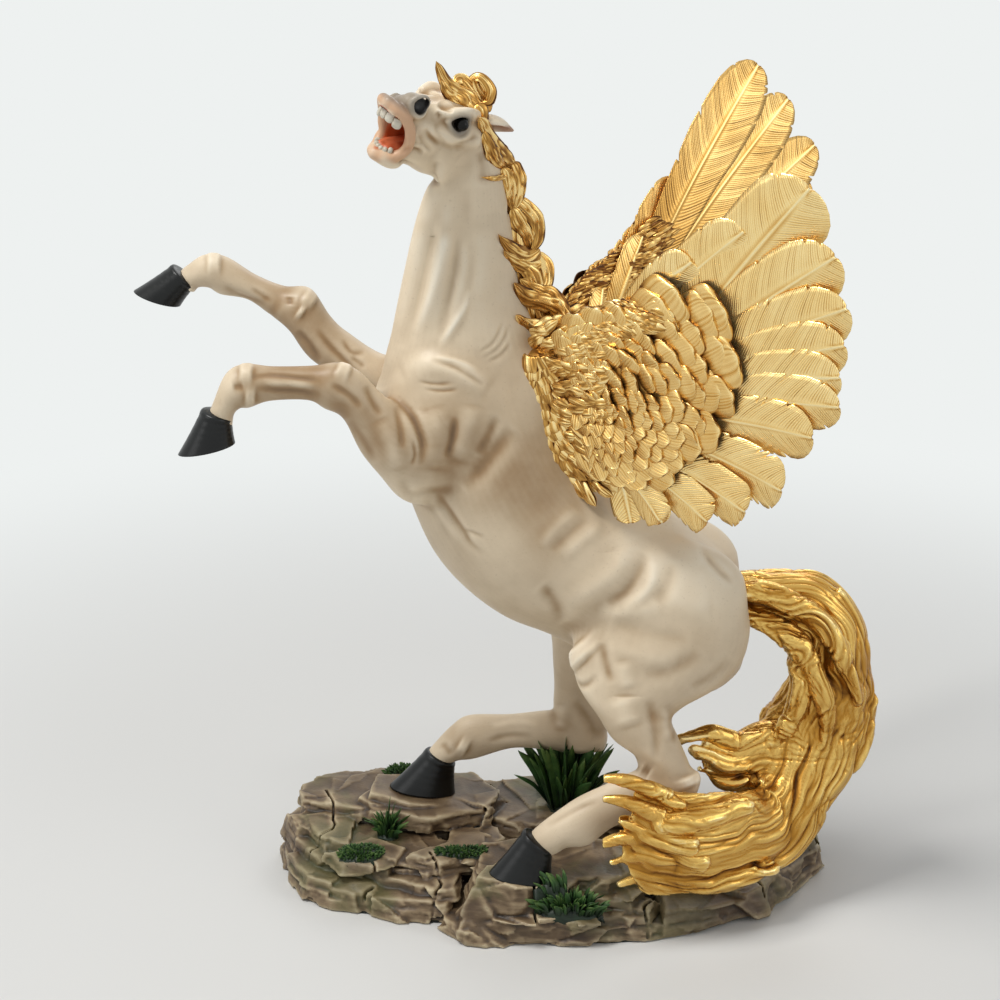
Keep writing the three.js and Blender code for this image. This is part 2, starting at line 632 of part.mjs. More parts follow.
function plainPlate(outline, bottom, top) {
  const shape = new THREE.Shape(outline.map(([x, y]) => new THREE.Vector2(x, y)));
  const geometry = new THREE.ExtrudeGeometry(shape, { depth: top - bottom, bevelEnabled: false });
  geometry.translate(0, 0, bottom);
  return solidFrom(geometry);
}

const rockSolid = (grow) => joined(ROCK_SLABS.map(([outline, bottom, top]) => slab(outline, bottom, top, grow)));

function tuft({ foot, mound, bladeRadius, tips }) {
  const solids = [ellipsoid(foot, mound, 0, [0, 0, 0], [8, 5])];
  for (const tip of tips) {
    const share = 0.45;
    const start = foot.map((value, i) => value + (tip[i] - value) * share * (i === 2 ? 0 : 1));
    const bend = start.map((value, i) => value + (tip[i] - value) * (i === 2 ? 0.6 : 0.4));
    solids.push(loft(ringsFromPath([start, bend, tip], [bladeRadius, bladeRadius * 0.8, bladeRadius * 0.25]),
      { sides: 4, ends: [1, 1] }));
  }
  return joined(solids);
}

// Pins, as start and end points
const leftWing = wingFrame(-1);
const rightWing = wingFrame(1);
const PINS = {
  pin_wing_left_upper: [wingPoint(leftWing, -14, 10), wingPoint(leftWing, 22, 16)],
  pin_wing_left_lower: [wingPoint(leftWing, -14, -6), wingPoint(leftWing, 22, 0)],
  pin_wing_right_upper: [wingPoint(rightWing, -14, 10), wingPoint(rightWing, 22, 16)],
  pin_wing_right_lower: [wingPoint(rightWing, -14, -6), wingPoint(rightWing, 22, 0)],
  pin_hind_left: [vec([-17, -42, 8]), vec([-3, -40, 50])],
  pin_hind_right: [vec([-66, 33, 12]), vec([-54, 33, 57])],
  pin_foreleg_left: [vec([-46, -12, 228]), vec([-78, -30, 239])],
  pin_foreleg_right: [vec([-48, 10, 243]), vec([-82, 25, 251])],
  pin_tail: [vec([66, 0, 148]), vec([98, 1, 148])],
};
const bore = (name) => rod(PINS[name][0], PINS[name][1], PIN_RADIUS, GLUE_GAP);

const grownBody = bodySolid(GLUE_GAP);
const grownWingLeft = wing(-1, FEATHERS_LEFT, GLUE_GAP);
const grownWingRight = wing(1, FEATHERS_RIGHT, GLUE_GAP);
const collarLeft = wingCollar(-1);
const collarRight = wingCollar(1);
const grownForeLeft = foreleg(FORE_LEFT, GLUE_GAP);
const grownForeRight = foreleg(FORE_RIGHT, GLUE_GAP);
const grownTail = tailSolid(GLUE_GAP);
const grownRock = rockSolid(GLUE_GAP);

const wingBoresLeft = [bore('pin_wing_left_upper'), bore('pin_wing_left_lower')];
const wingBoresRight = [bore('pin_wing_right_upper'), bore('pin_wing_right_lower')];

const solids = {};
solids.felt_sheet = plainPlate(insetOutline(GROUND, FELT_INSET), 0, FELT_THICK);
solids.rock_base = cut(rockSolid(0),
  plainPlate(insetOutline(GROUND, FELT_INSET - GLUE_GAP), RIM_LIFT - 1, FELT_THICK + GLUE_GAP),
  hoof('hoof_hind_left', GLUE_GAP), hoof('hoof_hind_right', GLUE_GAP), grownTail,
  bore('pin_hind_left'), bore('pin_hind_right'));
solids.horse_body = cut(bodySolid(0), eye(1, GLUE_GAP), eye(-1, GLUE_GAP),
  ...wingBoresLeft, ...wingBoresRight, bore('pin_hind_left'), bore('pin_hind_right'),
  bore('pin_foreleg_left'), bore('pin_foreleg_right'), bore('pin_tail'));
solids.foreleg_left = cut(foreleg(FORE_LEFT, 0), grownBody, bore('pin_foreleg_left'));
solids.foreleg_right = cut(foreleg(FORE_RIGHT, 0), grownBody, bore('pin_foreleg_right'));
solids.hoof_fore_left = cut(hoof('hoof_fore_left', 0), grownForeLeft);
solids.hoof_fore_right = cut(hoof('hoof_fore_right', 0), grownForeRight);
solids.hoof_hind_left = cut(hoof('hoof_hind_left', 0), grownBody, bore('pin_hind_left'));
solids.hoof_hind_right = cut(hoof('hoof_hind_right', 0), grownBody, bore('pin_hind_right'));
solids.wing_left = cut(wing(-1, FEATHERS_LEFT, 0), grownBody, ...wingBoresLeft);
solids.wing_right = cut(wing(1, FEATHERS_RIGHT, 0), grownBody, ...wingBoresRight);
solids.wing_root_left = cut(collarLeft, grownBody, grownWingLeft, ...wingBoresLeft);
solids.wing_root_right = cut(collarRight, grownBody, grownWingRight, ...wingBoresRight);
solids.tail = cut(tailSolid(0), grownBody, bore('pin_tail'));
solids.mane = cut(maneSolid(), grownBody, grownWingLeft, grownWingRight);
solids.forelock = cut(forelockSolid(), grownBody);
solids.eye_left = eye(1, 0);
solids.eye_right = eye(-1, 0);
solids.tongue = cut(loft(headRings(TONGUE_ROWS),
  { sides: 10, ends: [1, 1.5] }), grownBody);
solids.upper_teeth = cut(teeth([[23, 6, -15], [27, 4.5, -16], [29, 0, -17], [27, -4.5, -16], [23, -6, -15]]),
  grownBody);
solids.lower_teeth = cut(teeth([[19, 5.5, -26], [24, 4, -25.5], [26, 0, -25], [24, -4, -25.5], [19, -5.5, -26]]),
  grownBody, loft(headRings(TONGUE_ROWS),
    { sides: 10, grow: GLUE_GAP, ends: [1, 1.5] }));
for (const [name, shape] of Object.entries(TUFTS)) solids[name] = cut(tuft(shape), grownRock, grownBody, grownTail);
for (const [name, [at, radii]] of Object.entries(CUSHIONS)) {
  solids[name] = cut(ellipsoid(at, radii, 0, [0, 0, 0], [14, 8]), grownRock, hoof('hoof_hind_left', GLUE_GAP),
    hoof('hoof_hind_right', GLUE_GAP));
}
for (const name of Object.keys(PINS)) solids[name] = rod(PINS[name][0], PINS[name][1], PIN_RADIUS);

// The mane gives way to the collars at its lower end
solids.wing_root_left = cut(solids.wing_root_left, maneSolid());
solids.mane = cut(solids.mane, joined([collarLeft, collarRight]));

const paint = (color, roughness, metalness = 0) => new THREE.MeshStandardMaterial({ color, roughness, metalness });
const CREAM = paint(0xb09c7e, 0.6);
const GOLD = paint(0xd2a548, 0.4, 0.8);
const HOOF_BLACK = paint(0x1d2022, 0.3);
const ROCK = paint(0x6f6653, 0.85);
const GRASS = paint(0x3d5a2a, 0.8);
const STEEL = paint(0xb8bcc0, 0.35, 1);
const FELT = paint(0x1f2420, 0.95);
const TONGUE = paint(0xb5592f, 0.5);
const TEETH = paint(0xd8d2c2, 0.45);
const EYE = paint(0x0b0a0a, 0.1);

function materialFor(name) {
  if (name.startsWith('pin_')) return STEEL;
  if (name.startsWith('hoof_')) return HOOF_BLACK;
  if (name.startsWith('eye_')) return EYE;
  if (name.startsWith('grass_') || name.startsWith('moss_')) return GRASS;
  if (name.startsWith('wing_') || ['tail', 'mane', 'forelock'].includes(name)) return GOLD;
  if (name.endsWith('_teeth')) return TEETH;
  return { rock_base: ROCK, felt_sheet: FELT, tongue: TONGUE }[name] || CREAM;
}

const statue = new THREE.Group();
for (const [name, solid] of Object.entries(solids)) {
  const mesh = new THREE.Mesh(geometryFrom(solid), materialFor(name));
  mesh.name = name;
  statue.add(mesh);
}

export default statue;
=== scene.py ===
import functools
import math

import bpy
import numpy as np
import openvdb as vdb
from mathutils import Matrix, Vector


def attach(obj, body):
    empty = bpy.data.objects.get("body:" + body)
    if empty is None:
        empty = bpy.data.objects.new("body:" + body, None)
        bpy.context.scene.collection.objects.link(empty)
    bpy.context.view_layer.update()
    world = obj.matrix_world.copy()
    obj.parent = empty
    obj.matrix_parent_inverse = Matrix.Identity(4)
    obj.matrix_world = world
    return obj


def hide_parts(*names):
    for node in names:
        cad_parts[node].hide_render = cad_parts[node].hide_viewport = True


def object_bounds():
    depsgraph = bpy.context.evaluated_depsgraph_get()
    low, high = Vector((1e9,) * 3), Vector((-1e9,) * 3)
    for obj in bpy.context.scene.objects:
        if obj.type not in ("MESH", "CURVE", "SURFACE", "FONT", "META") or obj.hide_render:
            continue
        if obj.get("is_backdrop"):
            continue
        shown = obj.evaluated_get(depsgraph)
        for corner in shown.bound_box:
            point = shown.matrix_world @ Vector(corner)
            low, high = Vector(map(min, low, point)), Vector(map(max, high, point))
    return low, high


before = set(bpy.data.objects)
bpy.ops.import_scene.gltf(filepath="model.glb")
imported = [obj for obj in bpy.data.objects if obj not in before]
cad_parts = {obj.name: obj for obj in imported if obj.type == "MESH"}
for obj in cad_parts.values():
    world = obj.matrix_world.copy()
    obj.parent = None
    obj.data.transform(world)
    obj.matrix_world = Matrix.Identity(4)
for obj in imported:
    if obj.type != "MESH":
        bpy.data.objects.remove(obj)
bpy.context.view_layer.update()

# A rearing winged horse on a slab of rock. Sizes are millimetres until an object is made.
# The horse faces -X, its left side faces -Y and +Z is up; the origin is the middle of the underside.
MM = 0.001
UP = np.array([0.0, 0.0, 1.0])
SIDEWAYS = np.array([0.0, 1.0, 0.0])

# Camera of the photograph
LENS = 85.0
SENSOR = 36.0
PICTURE_SIZE = 1000.0
CAMERA_LIFT = math.radians(19)
CAMERA_DISTANCE = 1073.0
CAMERA_TARGET = np.array([-26.0, 0.0, 197.0])

# Skin of the horse: grid steps of the trunk and of the head, depth of the distance field, the seam where
# the head's skin takes over from the body's, and the size of the forms that the painted shade and painted
# highlights bring out
BODY_STEP = 0.65
HEAD_STEP = 0.36
BODY_BAND = 9.0
HEAD_BAND = 5.0
NECK_SEAM_HEIGHT = 327.0
NECK_SEAM_OVERLAP = 4.0
NECK_SEAM_DIP = 0.14
NECK_SEAM_FADE = 7.0
CREASE_SIZE = 3.0
STROKE_STRENGTH = 1.35
SHARP = 0.01

# Wings: turned out from the middle plane, leaning out a little; barbs are a spacing apart and each gets
# so many rows of points
WING_ROOT = (-1.0, 13.0, 240.0)
WING_SPREAD = math.radians(31)
WING_LEAN = math.radians(6.4)
BARB_SPACING = 1.45
BARB_ROWS = 4.4

# Head: turned to the left, lifted and tilted; its frame starts midway between the eyes
HEAD_AT = np.array([-50.0, -24.0, 379.0])
HEAD_TURN = math.radians(52)
HEAD_LIFT = math.radians(19.5)
HEAD_TILT = math.radians(23)
EYE_PLACE = (-1.0, 12.0, -0.6)
EYE_RADIUS = 3.0

SEED = 7
chance = np.random.default_rng(SEED)


def unit(vectors):
    return vectors / np.maximum(np.linalg.norm(vectors, axis=-1, keepdims=True), 1e-9)


def ease(values, low, high):
    """0 below low, 1 above high and smooth between."""
    t = np.clip((values - low) / (high - low), 0, 1)
    return t * t * (3 - 2 * t)


view_way = np.array([0.0, math.cos(CAMERA_LIFT), -math.sin(CAMERA_LIFT)])
view_up = np.array([0.0, math.sin(CAMERA_LIFT), math.cos(CAMERA_LIFT)])
camera_place = CAMERA_TARGET - view_way * CAMERA_DISTANCE


def picture(points):
    """Where points in the row frame fall in the photograph, in its pixels."""
    reach = points - camera_place
    scale = LENS / SENSOR * PICTURE_SIZE / (reach @ view_way)
    return PICTURE_SIZE / 2 + np.stack([scale * reach[:, 0], -scale * (reach @ view_up)], 1)


def from_picture(x, y, sideways):
    """The point at the given place along Y that falls on a pixel of the photograph."""
    scale = LENS / SENSOR * PICTURE_SIZE
    ray = view_way + np.array([1.0, 0, 0]) * (x - PICTURE_SIZE / 2) / scale
    ray = ray - view_up * (y - PICTURE_SIZE / 2) / scale
    return camera_place + ray * (sideways - camera_place[1]) / ray[1]


def smooth_rows(rows, count):
    """Rows on a smooth curve through the given rows."""
    rows = np.asarray(rows, float)
    last = len(rows) - 1
    t = np.linspace(0, last, count)
    i = np.minimum(t.astype(int), last - 1)
    f = (t - i)[:, None]
    a = rows[np.maximum(i - 1, 0)]
    b = rows[i]
    c = rows[i + 1]
    d = rows[np.minimum(i + 2, last)]
    return 0.5 * (2 * b + f * (c - a + f * (2 * a - 5 * b + 4 * c - d + f * (3 * (b - c) + d - a))))


def strip_cap(ring, flip):
    """Quads that close a ring with an even number of points."""
    half = len(ring) // 2
    quads = [[ring[k], ring[k + 1], ring[-2 - k], ring[-1 - k]] for k in range(half - 1)]
    return [quad[::-1] for quad in quads] if flip else quads


def tube_quads(rings, sides):
    """Quads of a closed tube whose rings follow each other in one list of points."""
    start = np.arange(rings - 1)[:, None] * sides
    k = np.arange(sides)[None, :]
    after = (k + 1) % sides
    walls = np.stack([start + k, start + after, start + sides + after, start + sides + k], -1).reshape(-1, 4)
    first = list(range(sides))
    last = list(range((rings - 1) * sides, rings * sides))
    return np.concatenate([walls, np.array(strip_cap(first, True)), np.array(strip_cap(last, False))])


def pair_rings(rows, steps=10):
    """Rings from rows of upper point, lower point and half width."""
    table = np.array([[*upper, *lower, half] for upper, lower, half in rows], float)
    table = smooth_rows(table, (len(rows) - 1) * steps + 1)
    upper, lower, half = table[:, :3], table[:, 3:6], table[:, 6:]
    tall = (upper - lower) / 2
    way = unit(tall)
    wide = unit(SIDEWAYS - way * way[:, 1:2]) * half
    return (upper + lower) / 2, tall, wide


def ring_skin(middle, tall, wide, sides=40, ends=(4, 4)):
    """A closed skin over elliptical rings, rounded at both ends."""
    rounding = np.array([0.985, 0.9, 0.75, 0.5, 0.25])
    shrink = np.sqrt(1 - rounding ** 2)[:, None]
    start_way = unit(middle[0] - middle[1])
    end_way = unit(middle[-1] - middle[-2])
    before = middle[0] + start_way * ends[0] * rounding[:, None]
    after = (middle[-1] + end_way * ends[1] * rounding[:, None])[::-1]
    middles = np.concatenate([before, middle, after])
    talls = np.concatenate([tall[0] * shrink, tall, (tall[-1] * shrink)[::-1]])
    wides = np.concatenate([wide[0] * shrink, wide, (wide[-1] * shrink)[::-1]])
    turn = np.arange(sides) * 2 * math.pi / sides
    points = (middles[:, None] + talls[:, None] * np.cos(turn)[None, :, None]
              + wides[:, None] * np.sin(turn)[None, :, None])
    return points.reshape(-1, 3), tube_quads(len(middles), sides)


def together(parts):
    """Several skins as one list of points and quads."""
    points = np.concatenate([part[0] for part in parts])
    shifts = np.cumsum([0, *(len(part[0]) for part in parts[:-1])])
    quads = np.concatenate([part[1] + shift for part, shift in zip(parts, shifts)])
    return points, quads


def corner_normals(points, quads):
    """Normals of the points of a skin."""
    across = points[quads[:, 2]] - points[quads[:, 0]]
    other = points[quads[:, 3]] - points[quads[:, 1]]
    faces = np.cross(across, other)
    total = np.stack([np.bincount(quads.ravel(), np.repeat(faces[:, axis], 4), len(points))
                      for axis in range(3)], 1)
    return unit(total)


def outward(points, quads):
    """The quads, turned so that their normals face out of the solid."""
    a, b, c, d = (points[quads[:, k]] for k in range(4))
    volume = np.einsum("ij,ij->i", a, np.cross(b, c)).sum() + np.einsum("ij,ij->i", a, np.cross(c, d)).sum()
    return quads if volume > 0 else quads[:, ::-1]


def bulge(points, quads, normals, rounds):
    """How far each point stands out of the skin around it, in mm: ridges above 0, creases below."""
    links = np.concatenate([quads[:, [k, (k + 1) % 4]] for k in range(4)])
    links = np.concatenate([links, links[:, ::-1]])
    count = np.maximum(np.bincount(links[:, 0], minlength=len(points)), 1)[:, None]
    soft = points
    for _ in range(rounds):
        soft = np.stack([np.bincount(links[:, 0], soft[links[:, 1], axis], len(points))
                         for axis in range(3)], 1) / count
    return np.einsum("ij,ij->i", points - soft, normals)


@functools.lru_cache(maxsize=None)
def noise_table(seed):
    return np.random.default_rng(seed).uniform(-1, 1, (97, 97, 97)).astype(np.float32)


def wander(x, y, z, size, seed):
    """Smooth noise from -1 to 1 with features of the given size."""
    table = noise_table(seed)
    cells, shares = [], []
    for axis in (x, y, z):
        v = (np.asarray(axis, np.float32) / size) + 40.5
        cell = np.floor(v)
        share = v - cell
        cells.append(cell.astype(int) % 96)
        shares.append(share * share * (3 - 2 * share))
    value = 0
    for i in (0, 1):
        for j in (0, 1):
            for k in (0, 1):
                weight = ((shares[0] if i else 1 - shares[0]) * (shares[1] if j else 1 - shares[1])
                          * (shares[2] if k else 1 - shares[2]))
                value = value + weight * table[cells[0] + i, cells[1] + j, cells[2] + k]
    return value


def broken(x, y, z, size, seed):
    """Noise of flat broken pieces: each cell has its own level and slope."""
    table = np.random.default_rng(seed).uniform(-1, 1, (7, 40, 40, 40)).astype(np.float32)
    places = np.broadcast_arrays(*[np.asarray(axis, np.float32) / size + 20.5 for axis in (x, y, z)])
    base = [np.floor(axis).astype(np.int32) for axis in places]
    best = np.full(places[0].shape, 99, np.float32)
    value = np.zeros(places[0].shape, np.float32)
    for shift in np.ndindex(3, 3, 3):
        cell = [b + s - 1 for b, s in zip(base, shift)]
        index = tuple(c % 40 for c in cell)
        gaps = [p - c - 0.5 - 0.45 * table[k][index] for k, (p, c) in enumerate(zip(places, cell))]
        gap = gaps[0] ** 2 + gaps[1] ** 2 + gaps[2] ** 2
        closer = gap < best
        best = np.where(closer, gap, best)
        plane = (table[3][index] + table[4][index] * gaps[0] + table[5][index] * gaps[1]
                 + table[6][index] * gaps[2])
        value = np.where(closer, plane, value)
    return value


# Clay: a block of signed distances that shapes are added to and cut from

class Clay:
    def __init__(self, low, high, step, band):
        self.step = step
        self.band = band
        self.first = np.floor(np.array(low) / step).astype(int)
        count = np.ceil(np.array(high) / step).astype(int) - self.first + 1
        self.field = np.full(count, band, np.float32)

    def room(self, low, high):
        """The window of the block between two corners, widened by the band."""
        a = np.floor((np.array(low) - self.band) / self.step).astype(int) - self.first
        b = np.ceil((np.array(high) + self.band) / self.step).astype(int) - self.first + 1
        a = np.clip(a, 0, self.field.shape)
        b = np.clip(b, a, self.field.shape)
        return tuple(slice(i, j) for i, j in zip(a, b))

    def grid(self, window):
        """Coordinates of the window, one array for each axis."""
        axes = [(np.arange(s.start, s.stop) + f).astype(np.float32) * self.step
                for s, f in zip(window, self.first)]
        return axes[0][:, None, None], axes[1][None, :, None], axes[2][None, None, :]

    def join(self, window, values, soft):
        old = self.field[window]
        near = (old < self.band * 0.98) & (values < self.band * 0.98)
        reach = np.maximum(soft - np.abs(old - values), 0)
        self.field[window] = np.minimum(old, values) - np.where(near, reach * reach / (4 * soft), 0)

    def remove(self, window, values, soft):
        old = self.field[window]
        inverse = -values
        reach = np.maximum(soft - np.abs(old - inverse), 0)
        self.field[window] = np.minimum(np.maximum(old, inverse) + reach * reach / (4 * soft), self.band)

    def add_skin(self, points, quads, soft):
        window = self.room(points.min(0), points.max(0))
        transform = vdb.createLinearTransform(voxelSize=self.step)
        level = vdb.FloatGrid.createLevelSetFromPolygons(
            points.astype(np.float32), quads=quads.astype(np.uint32), transform=transform,
            halfWidth=self.band / self.step)
        values = np.empty([s.stop - s.start for s in window], np.float32)
        level.copyToArray(values, ijk=tuple(int(s.start + f) for s, f in zip(window, self.first)))
        self.join(window, values, soft)

    def blob(self, at, radii, soft, turn=0.0, cut=False):
        """An ellipsoid, turned about the second axis by turn degrees."""
        at = np.array(at, float)
        radii = np.array(radii, float)
        window = self.room(at - radii.max(), at + radii.max())
        x, y, z = self.grid(window)
        x, y, z = x - at[0], y - at[1], z - at[2]
        c, s = math.cos(math.radians(turn)), math.sin(math.radians(turn))
        x, z = c * x - s * z, s * x + c * z
        near = np.sqrt((x / radii[0]) ** 2 + (y / radii[1]) ** 2 + (z / radii[2]) ** 2) + 1e-6
        slope = np.sqrt((x / radii[0] ** 2) ** 2 + (y / radii[1] ** 2) ** 2 + (z / radii[2] ** 2) ** 2) + 1e-6
        values = np.minimum(near * (near - 1) / slope, self.band)
        (self.remove if cut else self.join)(window, values, soft)

    def cord(self, rows, soft, cut=False, steps=5):
        """A rounded cord through rows of a point and a radius."""
        rows = smooth_rows(rows, (len(rows) - 1) * steps + 1)
        biggest = rows[:, 3].max()
        window = self.room(rows[:, :3].min(0) - biggest, rows[:, :3].max(0) + biggest)
        x, y, z = self.grid(window)
        values = np.full([s.stop - s.start for s in window], self.band, np.float32)
        for start, end in zip(rows[:-1], rows[1:]):
            way = end[:3] - start[:3]
            span = max(way @ way, 1e-9)
            px, py, pz = x - start[0], y - start[1], z - start[2]
            t = np.clip((px * way[0] + py * way[1] + pz * way[2]) / span, 0, 1)
            gap = np.sqrt((px - t * way[0]) ** 2 + (py - t * way[1]) ** 2 + (pz - t * way[2]) ** 2)
            values = np.minimum(values, gap - (start[3] + t * (end[3] - start[3])))
        (self.remove if cut else self.join)(window, values.astype(np.float32), soft)

    def skin(self):
        """The points and quads of the clay's surface."""
        self.field[[0, -1]] = self.band
        self.field[:, [0, -1]] = self.band
        self.field[:, :, [0, -1]] = self.band
        level = vdb.FloatGrid(self.band)
        level.copyFromArray(self.field, ijk=tuple(int(f) for f in self.first))
        level.transform = vdb.createLinearTransform(voxelSize=self.step)
        points, quads = level.convertToQuads(0.0)
        points = np.asarray(points, float)
        quads = np.asarray(quads, int)
        return points, outward(points, quads)


def line_gap(spots, line):
    """Distance from spots in the picture to a line, and the share of the line at the nearest point."""
    best = np.full(len(spots), 1e9)
    share = np.zeros(len(spots))
    last = len(line) - 1
    for i in range(last):
        way = line[i + 1] - line[i]
        t = np.clip(((spots - line[i]) @ way) / max(way @ way, 1e-9), 0, 1)
        gap = np.linalg.norm(spots - line[i] - t[:, None] * way, axis=1)
        closer = gap < best
        best[closer] = gap[closer]
        share[closer] = (i + t[closer]) / last
    return best, share


def relief(points, normals, strokes, low=None, high=None):
    """Height over the skin of ridges and creases drawn as lines in the photograph's frame."""
    spots = picture(points)
    facing = ease(-(normals @ view_way), 0.0, 0.35)
    inside = np.ones(len(points), bool)
    if low is not None:
        inside = np.all((points > np.array(low)) & (points < np.array(high)), axis=1)
    height = np.zeros(len(points))
    for amount, width, *line in strokes:
        line = smooth_rows(line, (len(line) - 1) * 4)
        reach = width * 2.6
        close = inside & np.all((spots > line.min(0) - reach) & (spots < line.max(0) + reach), axis=1)
        found = np.nonzero(close)[0]
        if not len(found):
            continue
        gap, share = line_gap(spots[found], line)
        fade = ease(np.minimum(share, 1 - share), -0.06, 0.34)
        height[found] += STROKE_STRENGTH * amount * np.exp(-(gap / width) ** 2) * fade
    return height * facing


def mirrored(points, side=1):
    """Points of both sides brought over to one: Y above 0 for side 1 and below 0 for side -1."""
    return points * [1, 0, 1] + side * np.abs(points) * [0, 1, 0]


def both_sides(points, normals, strokes):
    """The same relief on the left side and, mirrored, on the right side."""
    mirror = np.ones((len(points), 3))
    mirror[points[:, 1] > 0, 1] = -1
    return relief(points * mirror, normals * mirror, strokes)


# Objects, materials and their nodes

pieces = {}


def make_piece(name, points, quads, material, replaced=(), notes=None):
    """A finished mesh on the root body."""
    quads = outward(points, quads)
    mesh = bpy.data.meshes.new(name)
    mesh.vertices.add(len(points))
    mesh.vertices.foreach_set("co", (points * MM).astype(np.float32).ravel())
    mesh.loops.add(len(quads) * 4)
    mesh.loops.foreach_set("vertex_index", quads.astype(np.int32).ravel())
    mesh.polygons.add(len(quads))
    mesh.polygons.foreach_set("loop_start", np.arange(0, len(quads) * 4, 4, dtype=np.int32))
    mesh.polygons.foreach_set("use_smooth", np.ones(len(quads), bool))
    mesh.update(calc_edges=True)
    for label, values in (notes or {}).items():
        mesh.attributes.new(label, "FLOAT", "POINT").data.foreach_set("value", values.astype(np.float32))
    mesh.materials.append(material)
    piece = bpy.data.objects.new(name, mesh)
    bpy.context.scene.collection.objects.link(piece)
    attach(piece, "root")
    if replaced:
        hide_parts(*replaced)
    pieces[name] = (points, quads)
    return piece


def shade(red, green, blue):
    """A colour as written in the photograph, 0 to 255, for a shader."""
    return (*[((v / 255 + 0.055) / 1.055) ** 2.4 if v > 10 else v / 255 / 12.92
              for v in (red, green, blue)], 1.0)


class Finish:
    """A material and short ways to add its nodes."""

    def __init__(self, name, roughness=0.5, metallic=0.0, **settings):
        self.material = bpy.data.materials.new(name)
        self.material.use_nodes = True
        self.nodes = self.material.node_tree.nodes
        self.links = self.material.node_tree.links
        self.shader = self.nodes["Principled BSDF"]
        self.shader.inputs["Roughness"].default_value = roughness
        self.shader.inputs["Metallic"].default_value = metallic
        for label, value in settings.items():
            self.shader.inputs[label.replace("_", " ")].default_value = value
        self.place = self.nodes.new("ShaderNodeTexCoord").outputs["Object"]

    def put(self, socket, value):
        if isinstance(value, bpy.types.NodeSocket):
            self.links.new(value, socket)
        else:
            socket.default_value = value

    def note(self, name):
        node = self.nodes.new("ShaderNodeAttribute")
        node.attribute_name = name
        return node.outputs["Fac"]

    def noise(self, scale, detail=4.0, stretch=(1, 1, 1)):
        """Noise with its grains about 1/scale metres across."""
        node = self.nodes.new("ShaderNodeTexNoise")
        node.inputs["Scale"].default_value = scale
        node.inputs["Detail"].default_value = detail
        node.inputs["Roughness"].default_value = 0.55
        moved = self.nodes.new("ShaderNodeMapping")
        moved.inputs["Scale"].default_value = stretch
        self.links.new(self.place, moved.inputs["Vector"])
        self.links.new(moved.outputs["Vector"], node.inputs["Vector"])
        return node.outputs["Fac"]

    def math(self, kind, a, b):
        node = self.nodes.new("ShaderNodeMath")
        node.operation = kind
        self.put(node.inputs[0], a)
        self.put(node.inputs[1], b)
        return node.outputs[0]

    def swayed(self, value, *noises):
        """The value, moved up and down by pairs of a noise and its amount."""
        for noise, amount in noises:
            value = self.math("ADD", value, self.math("MULTIPLY", self.math("SUBTRACT", noise, 0.5), amount))
        return value

    def range(self, value, low, high, to_low=0.0, to_high=1.0):
        node = self.nodes.new("ShaderNodeMapRange")
        node.interpolation_type = "SMOOTHSTEP"
        self.put(node.inputs["Value"], value)
        for label, number in (("From Min", low), ("From Max", high), ("To Min", to_low), ("To Max", to_high)):
            node.inputs[label].default_value = number
        return node.outputs["Result"]

    def mix(self, share, a, b):
        node = self.nodes.new("ShaderNodeMix")
        node.data_type = "RGBA"
        self.put(node.inputs[0], share)
        self.put(node.inputs[6], a)
        self.put(node.inputs[7], b)
        return node.outputs[2]

    def ramp(self, value, *stops):
        node = self.nodes.new("ShaderNodeValToRGB")
        points = node.color_ramp.elements
        while len(points) < len(stops):
            points.new(0.5)
        for point, (at, tone) in zip(points, stops):
            point.position = at
            point.color = tone
        self.put(node.inputs["Fac"], value)
        return node.outputs["Color"]

    def bump(self, height, distance, strength):
        """Fine relief of the paint; distance is millimetres."""
        node = self.nodes.new("ShaderNodeBump")
        node.inputs["Strength"].default_value = strength
        node.inputs["Distance"].default_value = distance * MM
        self.links.new(height, node.inputs["Height"])
        self.links.new(node.outputs["Normal"], self.shader.inputs["Normal"])

    def colour(self, socket):
        self.put(self.shader.inputs["Base Color"], socket)

    def roughen(self, socket):
        self.put(self.shader.inputs["Roughness"], socket)


def cream_finish():
    """Cream paint: brown in the creases deepened as painted shade, painted highlights on the ridges, and its
    own tones at the lips, eyes, mouth, ears and nostrils.
    """
    paint = Finish("cream_paint", Specular_IOR_Level=0.4, Coat_Weight=0.12, Coat_Roughness=0.35)
    clouds = paint.noise(28, 5)
    speckle = paint.noise(900, 3)
    ridge = paint.swayed(paint.note("stand"), (clouds, 0.4), (paint.noise(13, 3), 0.35))
    # The ramp runs from painted shade in the creases to painted highlights on the ridges
    base = paint.ramp(ridge, (0.0, shade(92, 64, 38)), (0.3, shade(160, 130, 94)),
                      (0.5, shade(204, 184, 155)), (0.66, shade(227, 209, 181)), (1.0, shade(246, 235, 214)))
    base = paint.mix(paint.range(speckle, 0.6, 0.75, 0, 0.2), base, shade(150, 125, 95))
    for label, tone in (("lip", shade(206, 162, 126)), ("grey", shade(108, 100, 92)),
                        ("mouth", shade(190, 92, 46)), ("ear", shade(158, 112, 88)),
                        ("black", shade(20, 17, 16))):
        base = paint.mix(paint.note(label), base, tone)
    paint.colour(base)
    paint.roughen(paint.range(clouds, 0.3, 0.7, 0.42, 0.56))
    paint.bump(paint.math("ADD", speckle, paint.noise(260, 3)), distance=0.1, strength=0.4)
    return paint.material


def gold_finish(name, dark, body, light):
    """Antique gold: brown in the recesses deepened as painted shade, with painted highlights on the edges."""
    paint = Finish(name, roughness=0.34, metallic=0.8, Specular_IOR_Level=0.6)
    tone = paint.swayed(paint.note("stand"), (paint.noise(45, 5), 0.3))
    # The ramp runs from painted shade in the recesses to painted highlights on the edges
    base = paint.ramp(tone, (0.0, shade(52, 28, 8)), (0.22, dark), (0.5, body), (0.76, light),
                      (1.0, shade(255, 240, 190)))
    paint.colour(base)
    paint.roughen(paint.range(tone, 0.1, 0.7, 0.45, 0.24))
    paint.bump(paint.noise(1400, 3), distance=0.08, strength=0.5)
    return paint.material


